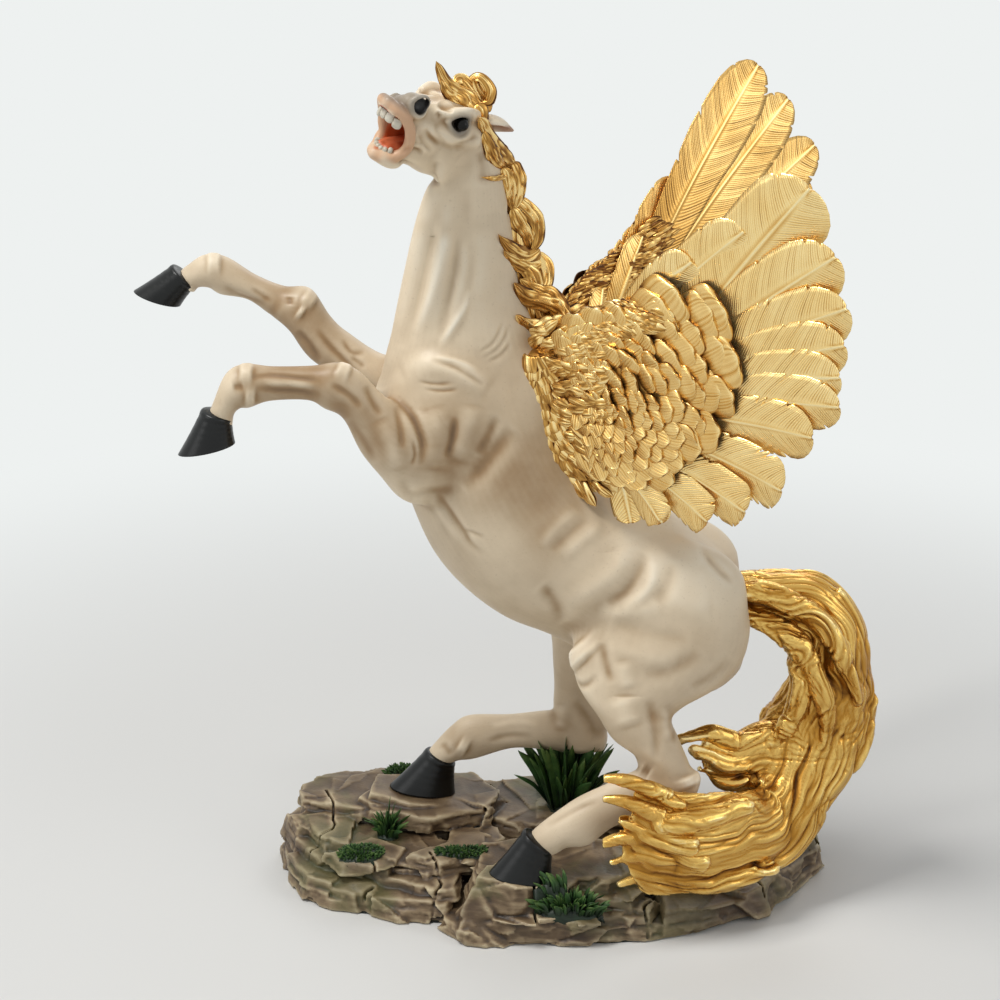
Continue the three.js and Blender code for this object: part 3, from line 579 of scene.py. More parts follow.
def plain_finish(name, stops, scale, roughness, metallic=0.0, bump=0.1, **settings):
    """A paint whose colour wanders a little."""
    paint = Finish(name, roughness=roughness, metallic=metallic, **settings)
    paint.colour(paint.ramp(paint.noise(scale), *stops))
    paint.bump(paint.noise(scale * 6, 3), distance=bump, strength=0.6)
    return paint.material


CREAM = cream_finish()
GOLD = gold_finish("gold_paint", shade(108, 62, 16), shade(212, 162, 82), shade(252, 220, 150))
# A darker copy of the gold for the tail, as painted shade
GOLD_TAIL_SHADED = gold_finish("gold_paint_tail_shaded", shade(96, 56, 12), shade(184, 130, 46), shade(236, 196, 110))
HOOF = plain_finish("hoof_black", [(0.35, shade(5, 6, 7)), (0.7, shade(15, 17, 17))], 90, 0.32,
                    Specular_IOR_Level=0.35)
EYE = plain_finish("eye_gloss", [(0.3, shade(4, 4, 4)), (0.8, shade(12, 10, 8))], 300, 0.16, bump=0.01,
                   Specular_IOR_Level=0.22)
TEETH = plain_finish("teeth_paint", [(0.3, shade(180, 170, 150)), (0.7, shade(214, 208, 192))], 260, 0.35,
                     bump=0.05)
TONGUE = plain_finish("mouth_paint", [(0.3, shade(178, 78, 44)), (0.7, shade(214, 118, 78))], 150, 0.4,
                      bump=0.15)
STEEL = plain_finish("steel", [(0.3, shade(150, 152, 155)), (0.7, shade(196, 198, 200))], 400, 0.32, 1.0,
                     bump=0.03)
FELT = plain_finish("felt", [(0.3, shade(24, 28, 25)), (0.7, shade(44, 48, 42))], 2500, 0.95, bump=0.3)


def rock_finish():
    """Layered stone: dark in the gaps as painted shade, pale on the edges as painted highlight, with olive
    and brown patches.
    """
    paint = Finish("rock_paint", Specular_IOR_Level=0.45)
    clouds = paint.noise(24, 5)
    grain = paint.noise(700)
    layers = paint.noise(70, 5, (1, 1, 6))
    tone = paint.swayed(paint.note("stand"), (layers, 0.45))
    base = paint.ramp(tone, (0.0, shade(18, 13, 9)), (0.28, shade(56, 43, 30)), (0.48, shade(98, 79, 57)),
                      (0.64, shade(142, 122, 94)), (1.0, shade(206, 190, 156)))
    base = paint.mix(paint.range(clouds, 0.5, 0.62, 0, 0.4), base, shade(96, 102, 58))
    base = paint.mix(paint.range(paint.noise(17, 4, (1, 1, 2)), 0.48, 0.64, 0, 0.5), base, shade(62, 46, 33))
    base = paint.mix(paint.range(grain, 0.6, 0.74, 0, 0.25), base, shade(36, 30, 22))
    paint.colour(base)
    paint.bump(paint.math("ADD", grain, paint.math("MULTIPLY", layers, 1.2)), distance=0.35, strength=0.6)
    return paint.material


def grass_finish():
    """Leaf green, dark at the roots of the blades."""
    paint = Finish("grass_paint", Specular_IOR_Level=0.4)
    tone = paint.swayed(paint.note("stand"), (paint.noise(220), 0.6))
    paint.colour(paint.ramp(tone, (0.0, shade(8, 16, 8)), (0.35, shade(22, 44, 20)),
                            (0.6, shade(50, 84, 34)), (1.0, shade(118, 142, 74))))
    paint.bump(paint.noise(1500, 3), distance=0.1, strength=0.5)
    return paint.material


ROCK = rock_finish()
GRASS = grass_finish()

# The head's own directions: forward, left and up
head_forward = np.array([-math.cos(HEAD_TURN) * math.cos(HEAD_LIFT),
                         -math.sin(HEAD_TURN) * math.cos(HEAD_LIFT), math.sin(HEAD_LIFT)])
level_left = np.array([math.sin(HEAD_TURN), -math.cos(HEAD_TURN), 0.0])
level_up = np.cross(head_forward, level_left)
head_left = level_left * math.cos(HEAD_TILT) - level_up * math.sin(HEAD_TILT)
head_up = level_up * math.cos(HEAD_TILT) + level_left * math.sin(HEAD_TILT)
head_axes = np.stack([head_forward, head_left, head_up])


def from_head(points):
    """Points in the row frame, from forward, left and up of the head."""
    return np.asarray(points, float) @ head_axes + HEAD_AT


def to_head(points):
    """Forward, left and up of the head, from points in the row frame."""
    return (np.asarray(points, float) - HEAD_AT) @ head_axes.T


# Body of the horse, as upper point, lower point and half width
TRUNK = [
    [[85, 0, 152], [87, 0, 132], 12],
    [[76, 0, 170], [84, 0, 114], 25],
    [[62, 0, 182], [64, 0, 103], 31],
    [[45, 0, 192], [27, 0, 116], 32],
    [[32, 0, 201], [-1, 0, 132], 30],
    [[18, 0, 209], [-24, 0, 142], 31],
    [[7, 0, 223], [-43, 0, 157], 33],
    [[-2, 0, 243], [-57, 0, 175], 33],
    [[-8, 0, 261], [-67, 0, 199], 31],
    [[-19, 0, 270], [-75, -2, 226], 27],
    [[-34, -2, 270], [-80, -4, 250], 19],
]
NECK = [
    [[-1, 2, 246], [-69, 0, 211], 25],
    [[-9, 3, 274], [-78, -5, 252], 24],
    [[-17, 4, 294], [-73, -8, 280], 19.5],
    [[-20, 4, 312], [-67, -11, 307], 16.5],
    [[-23, 3, 331], [-62, -14, 327], 14.5],
    [[-26, 0, 351], [-57, -15, 342], 13],
    [[-30, -3, 365], [-52, -15, 350], 11],
]
HIND_LEFT = [
    [[82, -14, 162], [32, -14, 178], 14],
    [[87, -18, 140], [14, -20, 152], 16],
    [[77, -23, 119], [7, -27, 136], 15],
    [[57, -29, 108], [9, -31, 120], 13.5],
    [[52, -33, 103], [18, -34, 106], 12],
    [[55, -35, 95], [25, -35, 95], 10.5],
    [[60, -36, 83], [35, -36, 87], 9],
    [[63, -36, 74], [38, -36, 75], 8.5],
]
CANNON_LEFT = [
    [[64, -36, 78], [60, -36, 65], 7],
    [[51, -36, 82], [53, -37, 63], 8],
    [[36, -37, 79], [38, -37, 57], 7],
    [[22, -37, 72], [25, -38, 51], 7],
    [[10, -38, 66], [15, -38, 43], 8.5],
    [[0, -39, 59], [5, -39, 42], 8],
    [[-9, -40, 52], [1, -40, 40], 7],
    [[-14, -41, 47], [-4, -41, 38], 6],
]
HIND_RIGHT = [
    [[82, 14, 162], [32, 14, 178], 14],
    [[84, 18, 138], [9, 20, 150], 16],
    [[66, 22, 118], [-1, 25, 130], 14],
    [[36, 25, 108], [-1, 26, 113], 12],
    [[27, 29, 93], [0, 29, 94], 10],
    [[26, 31, 74], [0, 31, 79], 8.5],
    [[24, 32, 62], [4, 32, 62], 7.5],
]
CANNON_RIGHT = [
    [[24, 32, 69], [22, 32, 57], 6.5],
    [[10, 32, 78], [11, 32, 56], 7.5],
    [[-4, 32, 78], [-4, 32, 58], 7],
    [[-21, 32, 76], [-20, 32, 59], 7],
    [[-41, 33, 75], [-38, 33, 53], 8],
    [[-50, 33, 69], [-46, 33, 52], 7.5],
    [[-58, 33, 60], [-50, 33, 50], 6.5],
    [[-62, 33, 55], [-52, 33, 47], 5.5],
]
FORE_LEFT = [
    [[-34, -12, 254], [-46, -14, 207], 12],
    [[-52, -22, 252], [-61, -24, 205], 13],
    [[-67, -28, 249], [-74, -28, 214], 13],
    [[-76, -31, 255], [-86, -31, 229], 10.5],
    [[-87, -33, 267], [-94, -33, 246], 9.5],
    [[-96, -34, 271], [-102, -34, 251], 9],
    [[-107, -35, 270], [-109, -35, 255], 7],
    [[-124, -36, 270], [-125, -36, 255], 7],
    [[-136, -36, 271], [-134, -36, 252], 8.5],
    [[-144, -37, 267], [-138, -37, 252], 8],
    [[-150, -37, 254], [-141, -37, 249], 6.5],
    [[-153, -37, 247], [-142, -37, 243], 5.5],
]
FORE_RIGHT = [
    [[-34, 12, 262], [-46, 13, 224], 12],
    [[-62, 22, 262], [-67, 22, 230], 12],
    [[-78, 25, 258], [-86, 25, 241], 10],
    [[-95, 27, 268], [-111, 27, 255], 9.5],
    [[-103, 29, 275], [-122, 29, 269], 9.5],
    [[-112, 30, 288], [-129, 30, 275], 8.5],
    [[-124, 31, 289], [-132, 31, 277], 7],
    [[-137, 32, 294], [-141, 32, 283], 7],
    [[-150, 33, 302], [-153, 33, 285], 8],
    [[-160, 33, 303], [-158, 33, 288], 7.5],
    [[-168, 34, 298], [-163, 34, 288], 6.5],
    [[-173, 34, 294], [-165, 34, 286], 5.5],
]
# Muscle masses of the left side, as middle, radii, turn in degrees and softness; the right side mirrors them
MUSCLES = [
    [[-50, -18, 246], [24, 13, 24], 20, 8],
    [[-64, -20, 224], [14, 13, 20], 0, 7],
    [[-13, -9, 243], [10, 10, 25], 0, 8],
    [[58, -19, 160], [26, 13, 22], 0, 8],
    [[50, -24, 134], [24, 11, 18], 20, 7],
    [[-2, -20, 176], [34, 12, 22], 35, 8],
]

# Ridges (above 0) and creases (below 0) of the left side: height in mm, half width and points in pixels
TRUNK_STROKES = [
    (-1.6, 9, (438, 198), (434, 225), (427, 255), (418, 290), (409, 322), (402, 348)),
    (1.3, 7, (450, 200), (445, 235), (438, 270), (428, 305), (415, 335)),
    (-1.3, 7, (460, 225), (457, 262), (449, 300), (438, 338)),
    (0.9, 4, (470, 288), (464, 308), (453, 326), (440, 347)),
    (-0.6, 6, (472, 240), (470, 280), (460, 320)),
    (-0.5, 7, (467, 185), (467, 220), (470, 255)),
    (0.5, 10, (485, 215), (484, 260), (480, 300)),
    (-0.35, 2, (478, 352), (490, 346), (498, 335), (503, 322)),
    (-0.35, 2, (482, 358), (496, 350), (505, 338), (509, 325)),
    (-0.35, 2, (487, 362), (502, 354), (511, 342)),
    (1.9, 13, (402, 372), (430, 364), (462, 372), (490, 388)),
    (-0.6, 3, (432, 361), (452, 367), (470, 377), (484, 386)),
    (0.45, 3, (436, 357), (458, 362), (478, 372)),
    (-0.35, 1.8, (418, 381), (435, 384), (452, 383)),
    (-0.35, 1.8, (424, 389), (442, 391), (458, 389)),
    (-1.1, 4.5, (398, 402), (411, 414), (419, 430), (423, 446), (420, 466)),
    (-0.4, 2, (413, 440), (415, 455), (411, 466)),
    (1.3, 12, (432, 408), (438, 440), (436, 470)),
    (-0.7, 4.5, (456, 415), (452, 440), (446, 458)),
    (1.2, 11, (472, 405), (466, 435), (458, 462)),
    (-0.8, 6, (498, 415), (488, 438), (477, 456)),
    (-1.5, 10, (515, 428), (496, 450), (480, 470), (462, 488)),
    (-0.9, 6, (400, 478), (410, 496), (435, 492), (455, 490)),
    (-0.7, 3.5, (436, 494), (446, 506), (456, 521), (464, 533), (471, 544), (486, 555)),
    (0.5, 4, (430, 500), (440, 512), (450, 527), (460, 542)),
    (-0.3, 2, (463, 530), (474, 533), (484, 538)),
    (-1.2, 8, (540, 586), (553, 602), (563, 622)),
    (0.45, 6, (540, 548), (558, 526), (580, 508)),
    (-0.35, 5, (550, 553), (570, 534), (590, 516)),
    (0.45, 6, (562, 558), (582, 540), (602, 522)),
    (0.3, 8, (590, 495), (594, 520), (592, 545)),
    (1.7, 13, (612, 530), (624, 550), (616, 570), (596, 586), (576, 602), (564, 622)),
    (-1.0, 7, (646, 552), (638, 574), (626, 591), (606, 604)),
    (0.9, 6, (655, 560), (652, 582), (641, 597), (622, 608)),
    (-0.8, 8, (672, 560), (668, 585), (655, 604)),
    (0.8, 9, (596, 612), (630, 612), (662, 606)),
    (-0.9, 11, (610, 622), (650, 634), (690, 640)),
    (0.6, 10, (600, 640), (640, 656), (680, 662)),
    (-0.6, 9, (640, 676), (672, 670), (702, 652)),
    (0.5, 12, (660, 590), (690, 604), (712, 606)),
    (1.8, 18, (572, 648), (586, 662)),
    (-0.7, 4, (556, 664), (566, 680), (584, 686), (598, 674)),
    (-0.8, 5.5, (602, 642), (606, 664), (612, 684)),
    (0.7, 9, (622, 660), (628, 690)),
    (-0.9, 4, (700, 548), (716, 566), (734, 584)),
    (0.8, 12, (650, 520), (684, 542), (706, 566)),
    (-0.6, 6, (690, 690), (712, 676), (732, 658)),
]
HIND_LEFT_STROKES = [
    (1.2, 13, (620, 694), (630, 728)),
    (-0.7, 6, (648, 698), (655, 728), (656, 762)),
    (0.6, 4.5, (664, 706), (668, 742)),
    (-0.5, 3.5, (676, 712), (675, 745)),
    (-0.7, 6, (642, 768), (650, 774)),
    (1.1, 9, (686, 776), (691, 788)),
    (0.8, 8, (640, 784), (650, 792)),
    (-0.5, 4, (600, 800), (570, 812), (545, 826)),
    (0.7, 8, (530, 812), (505, 826)),
]
HIND_RIGHT_STROKES = [
    (-0.5, 4, (486, 742), (510, 736), (535, 737)),
    (0.45, 4, (490, 727), (515, 722), (540, 724)),
    (-0.9, 7, (572, 700), (590, 722), (598, 742)),
    (1.0, 8, (458, 744), (468, 750)),
    (-0.5, 4, (440, 742), (452, 756)),
    (0.6, 6, (562, 704), (560, 730)),
]
FORE_LEFT_STROKES = [
    (-0.4, 3, (250, 378), (272, 375), (300, 378), (318, 380)),
    (-0.5, 4, (255, 388), (275, 390), (300, 391), (322, 396)),
    (0.4, 4, (262, 383), (290, 384), (315, 387)),
    (-0.6, 4.5, (366, 384), (373, 400), (382, 416)),
    (-0.7, 6, (346, 420), (362, 442), (374, 464)),
    (0.9, 9, (380, 420), (392, 445), (398, 470)),
    (-0.5, 4, (395, 405), (401, 428), (402, 450)),
    (0.9, 9, (336, 366), (352, 372)),
    (1.0, 9, (238, 372), (254, 373)),
    (0.8, 8, (244, 397), (256, 398)),
    (-0.6, 5, (232, 388), (244, 386)),
    (-0.5, 4, (330, 384), (348, 394), (362, 408)),
]
FORE_RIGHT_STROKES = [
    (-0.6, 4, (316, 328), (330, 346), (346, 362), (362, 374)),
    (-0.45, 3, (342, 338), (352, 352), (366, 352)),
    (-0.45, 3, (350, 356), (366, 368)),
    (-0.5, 4, (222, 286), (242, 297), (268, 304)),
    (-0.4, 3, (250, 288), (272, 302)),
    (-0.5, 4, (290, 296), (290, 306)),
    (0.9, 6, (298, 310), (304, 314)),
    (-0.6, 4, (296, 330), (310, 345), (320, 362)),
    (1.1, 10, (206, 262), (222, 262)),
    (0.8, 8, (302, 296), (316, 304)),
]
# Each leg's strokes with the corners of the room that they reach
LEG_STROKES = (
    (HIND_LEFT_STROKES, (-30, -70, 30), (95, -6, 118)),
    (HIND_RIGHT_STROKES, (-80, 8, 30), (60, 70, 104)),
    (FORE_LEFT_STROKES, (-190, -70, 190), (-62, -10, 290)),
    (FORE_RIGHT_STROKES, (-190, 10, 220), (-76, 70, 320)),
)

# Painted light and shade over broad parts of the body, paler above 0 and darker below: pixel, reach in pixels
# and amount
BROAD_LIGHT_AND_SHADE = [(452, 250, 75, 0.17), (440, 330, 60, 0.1), (680, 560, 70, 0.2), (430, 440, 50, -0.2),
          (525, 490, 60, -0.15), (475, 535, 40, 0.08), (290, 384, 60, -0.32), (360, 430, 35, -0.16),
          (240, 290, 60, -0.1), (470, 740, 70, -0.1)]
# Middle line of the lips on one side, from the front of the upper lip to the front of the lower one
LIP_RING = [(33, 0, -4.8), (31.5, 4.5, -5.2), (28, 7.4, -7), (23.6, 8.8, -10.2), (20, 8.9, -14.8),
            (18.2, 8.2, -19), (18.7, 6.8, -22.8), (21, 4.6, -25.8), (23.8, 2, -27.1), (24.8, 0, -27.3)]
LIP_RADIUS = 2.25
# Nostrils by side: middle and size against the left one
NOSTRILS = {1: ((23.4, 7.2, 0.2), 0.95), -1: ((24.6, 4.8, -3.9), 0.5)}
NOSTRIL_RIM = [(-5, -0.8, -0.8), (-3.4, 0.4, 2.4), (0, 0.7, 3.8), (3.6, 0, 2.6), (5, -0.6, -0.4),
               (3.2, 0.6, -3.8), (-0.2, 1.2, -4.6), (-3.2, 0.9, -3.8), (-5, -0.6, -1)]
# Hollows that make the open mouth: middle, radii and turn in degrees
MOUTH_HOLLOWS = (((29.2, 0, -15.8), (9, 6.4, 8.9), -18), ((19.4, 0, -16.2), (8, 5.9, 7.2), -10),
                 ((12.6, 0, -15.8), (6, 4.2, 4.4), 0))
# Rows of the skull, the jaw and the cheeks: forward, up, half height and half width
SKULL = [(-27, -6, 9, 9), (-15, -6, 12, 13), (0, -5.6, 11.4, 12.4), (9, -6.8, 8.6, 9.2), (16, -6.4, 6.8, 7.8),
         (23, -5.6, 4.6, 7.8), (28, -6, 3.4, 7.2), (32, -6.6, 2.6, 5.6)]
JAW = [(-24, -14, 11, 10.5), (-8, -19.2, 9.8, 9.4), (4, -22, 5.6, 8), (12, -23.6, 3.8, 7),
       (18.5, -25.6, 3.8, 6.2), (23, -26.4, 3, 4.8)]
CHEEKS = [(0, -15.2, 9, 9.8), (7, -14.8, 10.4, 9.5), (13, -14.4, 10.8, 9.2), (17.3, -14.4, 10.2, 8.8)]


def sculpt_head():
    """The head in its own frame, down to the seam with the neck."""
    clay = Clay((-46, -26, -66), (42, 26, 22), HEAD_STEP, HEAD_BAND)
    middle, tall, wide = pair_rings(NECK)
    points, quads = ring_skin(middle, tall, wide, sides=56, ends=(6, 5))
    clay.add_skin(to_head(points), quads, soft=1)
    for rows, soft in ((SKULL, 5), (JAW, 4.5), (CHEEKS, 3)):
        table = smooth_rows(rows, (len(rows) - 1) * 8 + 1)
        middle = np.stack([table[:, 0], np.zeros(len(table)), table[:, 1]], 1)
        tall = table[:, 2:3] * UP
        wide = table[:, 3:4] * SIDEWAYS
        clay.add_skin(*ring_skin(middle, tall, wide, sides=48, ends=(5, 2)), soft)
    for side in (1, -1):
        def cord(rows, soft):
            clay.cord([(f, side * l, u, r) for f, l, u, r in rows], soft)

        def blob(at, radii, soft, turn=0.0, cut=False):
            clay.blob((at[0], side * at[1], at[2]), radii, soft, turn, cut)
        # Cheek, cheekbone, brow and bridge of the nose
        blob((-13, 8.4, -16), (12, 4.4, 12.5), 4, 20)
        cord([(-14, 11.5, -5.5, 2.2), (-2, 12, -7.4, 2.1), (8, 9.2, -8, 1.7), (15, 7.4, -8, 1.1)], 3)
        cord([(-11, 8.4, 4.4, 2.0), (-4, 10, 4.4, 2.3), (4, 9.8, 2.4, 2.4), (10, 7.2, 0, 1.5)], 3.5)
        cord([(4, 4.2, 2, 1.8), (12, 3.6, -1, 1.6), (20, 3.2, -2.4, 1.4)], 3.5)
        # Eye socket and lids
        blob((-0.8, 13.2, -0.6), (5.8, 4.4, 4.8), 2, cut=True)
        cord([(-6.8, 10.6, -1.2, 0.8), (-4.2, 11.5, 2.3, 1.0), (-0.8, 12.1, 3.7, 1.15), (2.8, 11.6, 2.5, 1.0),
              (5.8, 10.2, -1.4, 0.8)], 1.2)
        cord([(-6.8, 10.6, -1.2, 0.8), (-3.8, 11.7, -3.8, 0.9), (-0.4, 12.2, -4.8, 0.9), (3, 11.6, -3.9, 0.9),
              (5.8, 10.2, -1.6, 0.8)], 1.2)
        cord([(-8, 9.8, 2.4, 0.8), (-3.6, 11.2, 5.4, 1.2), (1.5, 11.6, 5, 1.3), (7, 9.6, 1.2, 0.9)], 1.5)
        # Nostril: a flared rim round a deep hollow, wider on the left side
        centre, size = NOSTRILS[side]
        blob((centre[0], centre[1] - 3.2, centre[2] - 1.6), (6 * size, 5.4, 5 * size), 2.5)
        cord([(centre[0] + f * size, centre[1] + l * size, centre[2] + u * size, 1.25 * size)
              for f, l, u in NOSTRIL_RIM], 1.4)
        blob((18.5, 3, -27.4), (6, 4.6, 3), 3)
        cord([(f, l, u, LIP_RADIUS) for f, l, u in LIP_RING], 1.4)
    # Mouth, from the opening to the throat, then the hollows of the nostrils and the hollowed ears
    for at, radii, turned in MOUTH_HOLLOWS:
        clay.blob(at, radii, 1.2, turned, cut=True)
    for side in (1, -1):
        centre, size = NOSTRILS[side]
        clay.blob((centre[0], side * (centre[1] + 1), centre[2]), (4.1 * size, 3.6, 3.9 * size), 0.7,
                  cut=True)
        ear = [(-17.5, side * 8.2, 1.4, 3.4), (-21, side * 9.8, 3.4, 3.7), (-24.5, side * 11.6, 4.2, 3.1),
               (-28, side * 13, 4.4, 1.8), (-31, side * 14.2, 4.6, 0.6)]
        clay.cord(ear, 2)
        hollow = [(-19.5, side * 11.8, 1.6, 1.8), (-23, side * 13.2, 2.6, 2.1),
                  (-26.5, side * 14.2, 3.4, 1.5), (-29, side * 14.9, 4.1, 0.7)]
        clay.cord(hollow, 0.8, cut=True)
    window = tuple(slice(0, n) for n in clay.field.shape)
    f, l, u = clay.grid(window)
    height = HEAD_AT[2] + f * head_forward[2] + l * head_left[2] + u * head_up[2]
    seam_low = NECK_SEAM_HEIGHT - NECK_SEAM_OVERLAP
    clay.field += (NECK_SEAM_DIP * (1 - ease(height, seam_low, NECK_SEAM_HEIGHT))
                   + 1.2 * (1 - ease(height, seam_low, seam_low + 2.4))).astype(np.float32)
    clay.remove(window, height - seam_low, SHARP)
    return clay.skin()


HEAD_STROKES = [
    (-0.6, 3, (425, 128), (431, 138), (440, 146)),
    (-0.45, 2.5, (419, 134), (424, 144), (432, 152)),
    (-0.35, 2.5, (414, 142), (424, 146)),
    (-0.4, 3, (436, 122), (438, 134), (446, 144)),
    (-1.0, 3.5, (438, 103), (446, 108), (454, 112)),
    (-0.7, 2.5, (436, 112), (441, 118)),
    (-0.9, 4, (452, 148), (470, 142), (478, 134)),
    (-1.0, 3, (400, 152), (414, 150), (424, 153)),
    (-1.0, 3.5, (398, 160), (412, 168), (428, 186)),
    (-0.9, 5, (437, 160), (434, 175), (436, 188)),
    (-0.8, 6, (480, 150), (484, 168), (482, 186)),
]

body_clay = Clay((-190, -62, 24), (104, 62, NECK_SEAM_HEIGHT + 6), BODY_STEP, BODY_BAND)
for rows, sides, ends, soft in ((TRUNK, 72, (3, 5), 1), (NECK, 56, (6, 5), 8), (HIND_LEFT, 48, (8, 4), 7),
                                (HIND_RIGHT, 48, (8, 4), 7), (CANNON_LEFT, 32, (3, 2), 3),
                                (CANNON_RIGHT, 32, (3, 2), 3), (FORE_LEFT, 40, (4, 2), 6),
                                (FORE_RIGHT, 40, (4, 2), 6)):
    middle, tall, wide = pair_rings(rows)
    body_clay.add_skin(*ring_skin(middle, tall, wide, sides, ends), soft)
for at, radii, turned, soft in MUSCLES:
    for side in (1, -1):
        body_clay.blob((at[0], at[1] * side, at[2]), radii, soft, turned)
window = body_clay.room((-120, -40, NECK_SEAM_HEIGHT), (20, 40, NECK_SEAM_HEIGHT + 6))
x, y, z = body_clay.grid(window)
seam_high = NECK_SEAM_HEIGHT + NECK_SEAM_OVERLAP
body_clay.field[window] += (NECK_SEAM_DIP * ease(z, NECK_SEAM_HEIGHT, seam_high)
                            + 1.2 * ease(z, seam_high - 2.4, seam_high)).astype(np.float32)
body_clay.remove(window, seam_high - z, SHARP)


def crease_rounds(step):
    """Rounds of smoothing that bring out forms of the same size at any grid step."""
    return int((CREASE_SIZE / step) ** 2)


def painted_broad_light(points):
    """Painted light and shade over broad parts of both sides: how much paler or darker the paint is made."""
    spots = picture(mirrored(points, -1))
    tone = 0
    for x, y, reach, amount in BROAD_LIGHT_AND_SHADE:
        tone = tone + amount * np.exp(-((spots[:, 0] - x) ** 2 + (spots[:, 1] - y) ** 2) / reach ** 2)
    return tone


body_points, body_quads = body_clay.skin()
body_normals = corner_normals(body_points, body_quads)
body_relief = both_sides(body_points, body_normals, TRUNK_STROKES)
for strokes, low, high in LEG_STROKES:
    body_relief += relief(body_points, body_normals, strokes, low, high)
body_points = body_points + body_normals * body_relief[:, None]
body_normals = corner_normals(body_points, body_quads)
# Creases darker and ridges paler: brown paint in the creases deepened as painted shade, and painted
# highlights
body_stand = 0.46 * bulge(body_points, body_quads, body_normals, crease_rounds(BODY_STEP))
below_seam = 1 - ease(body_points[:, 2], NECK_SEAM_HEIGHT - NECK_SEAM_FADE, NECK_SEAM_HEIGHT)
body_stand = 0.5 + body_stand * below_seam
# Painted light and shade over broad parts of the body
body_stand = body_stand + painted_broad_light(body_points)
body_notes = {label: np.zeros(len(body_points)) for label in ("lip", "grey", "mouth", "ear", "black")}
make_piece("horse_skin", body_points, body_quads, CREAM,
           ("horse_body", "foreleg_left", "foreleg_right"), {"stand": body_stand, **body_notes})

head_points, head_quads = sculpt_head()
head_normals = corner_normals(head_points, head_quads)
mirror = np.ones((len(head_points), 3))
mirror[head_points[:, 1] < 0, 1] = -1
lines = relief(from_head(head_points * mirror), (head_normals * mirror) @ head_axes, HEAD_STROKES)
world_points = from_head(head_points)
neck_lines = both_sides(world_points, head_normals @ head_axes, TRUNK_STROKES)
lines = lines * ease(world_points[:, 2], 330, 338) + neck_lines
head_points = head_points + head_normals * lines[:, None]
head_normals = corner_normals(head_points, head_quads)
# Creases darker and ridges paler on the head: painted shade and painted highlights
head_stand = 0.42 * bulge(head_points, head_quads, head_normals, crease_rounds(HEAD_STEP))
above_seam = ease(from_head(head_points)[:, 2], NECK_SEAM_HEIGHT, NECK_SEAM_HEIGHT + NECK_SEAM_FADE)
# The head and neck get the same painted light and shade over broad parts
head_stand = 0.5 + head_stand * above_seam + painted_broad_light(world_points)


def near_cord(points, rows):
    """Distance from the points, on both sides of the head, to a line through rows in its frame."""
    return line_gap(mirrored(points), smooth_rows(rows, (len(rows) - 1) * 5 + 1))[0]


lip_gap = near_cord(head_points, LIP_RING)
lip = 0.9 * (1 - ease(lip_gap, 2.2, 3.3))
f, l, u = head_points.T
inner = np.zeros(len(head_points))
for at, radii, turned in MOUTH_HOLLOWS:
    c, s = math.cos(math.radians(turned)), math.sin(math.radians(turned))
    along, rise = f - at[0], u - at[2]
    along, rise = c * along - s * rise, s * along + c * rise
    room = (along / radii[0]) ** 2 + (l / radii[1]) ** 2 + (rise / radii[2]) ** 2
    inner = np.maximum(inner, 1 - ease(room, 1.1, 1.35))
inner = inner * ease(lip_gap, 2.0, 2.6)
nostril = np.full(len(head_points), 9.0)
for side, (centre, size) in NOSTRILS.items():
    offset = head_points * [1, side, 1] - centre + [0.4, 0, 0]
    nostril = np.minimum(nostril, np.linalg.norm(offset / [4.6, 4, 4.3], axis=1) / size)
eye_gap = np.linalg.norm((mirrored(head_points) - [-0.6, 12, -0.8]) / [7.5, 6, 6], axis=1)
ear_gap = near_cord(head_points, [(-19, 11.8, 1.8), (-24, 13.6, 3), (-29, 15, 4.2)])
make_piece("head_skin", from_head(head_points), head_quads, CREAM, (),
           {"stand": head_stand, "lip": lip, "mouth": inner,
            "grey": np.maximum(0.85 * (1 - ease(eye_gap, 0.6, 1.15)),
                               0.7 * ease(f, 17, 23) * ease(u, -6, -2.5)),
            "ear": 0.8 * (1 - ease(ear_gap, 1.6, 2.8)), "black": 1 - ease(nostril, 0.85, 1.1)})


# Feathers and hair: parts are lists of points, quads and a note of how far each point stands out, with
# painted shade and painted highlights

# Columns across a vane, from edge to edge, and its half width as share of length and share of width
VANE_HALF = np.array([0.06, 0.16, 0.3, 0.48, 0.66, 0.84, 1])
VANE_COLUMNS = np.concatenate([-VANE_HALF[::-1], [0], VANE_HALF])
VANE_WIDTH = np.array([(0, 0.5), (0.2, 0.76), (0.42, 0.98), (0.58, 1), (0.7, 0.95), (0.8, 0.83), (0.88, 0.66),
                       (0.94, 0.46), (0.98, 0.25), (1, 0.08)])
VANE_SWEEP = 1.1
# Painted shade at a feather's root, where the row before covers it
VANE_ROOT_SHADE = 0.12
# The wing's long feathers are wider than their rows, so that they overlap; the lining's lie on its inner face
PRIMARY_WIDEN = 1.12
PRIMARY_VANE = {"outer": 1, "thick": 1.9, "tilt": 0.12, "camber": 0.06}
LINING_VANE = {"outer": -1, "thick": 1.3, "tilt": 0.1, "camber": 0.12, "barb": 1.7, "groove": 0.26,
               "shaft": 0.45, "notches": 2}


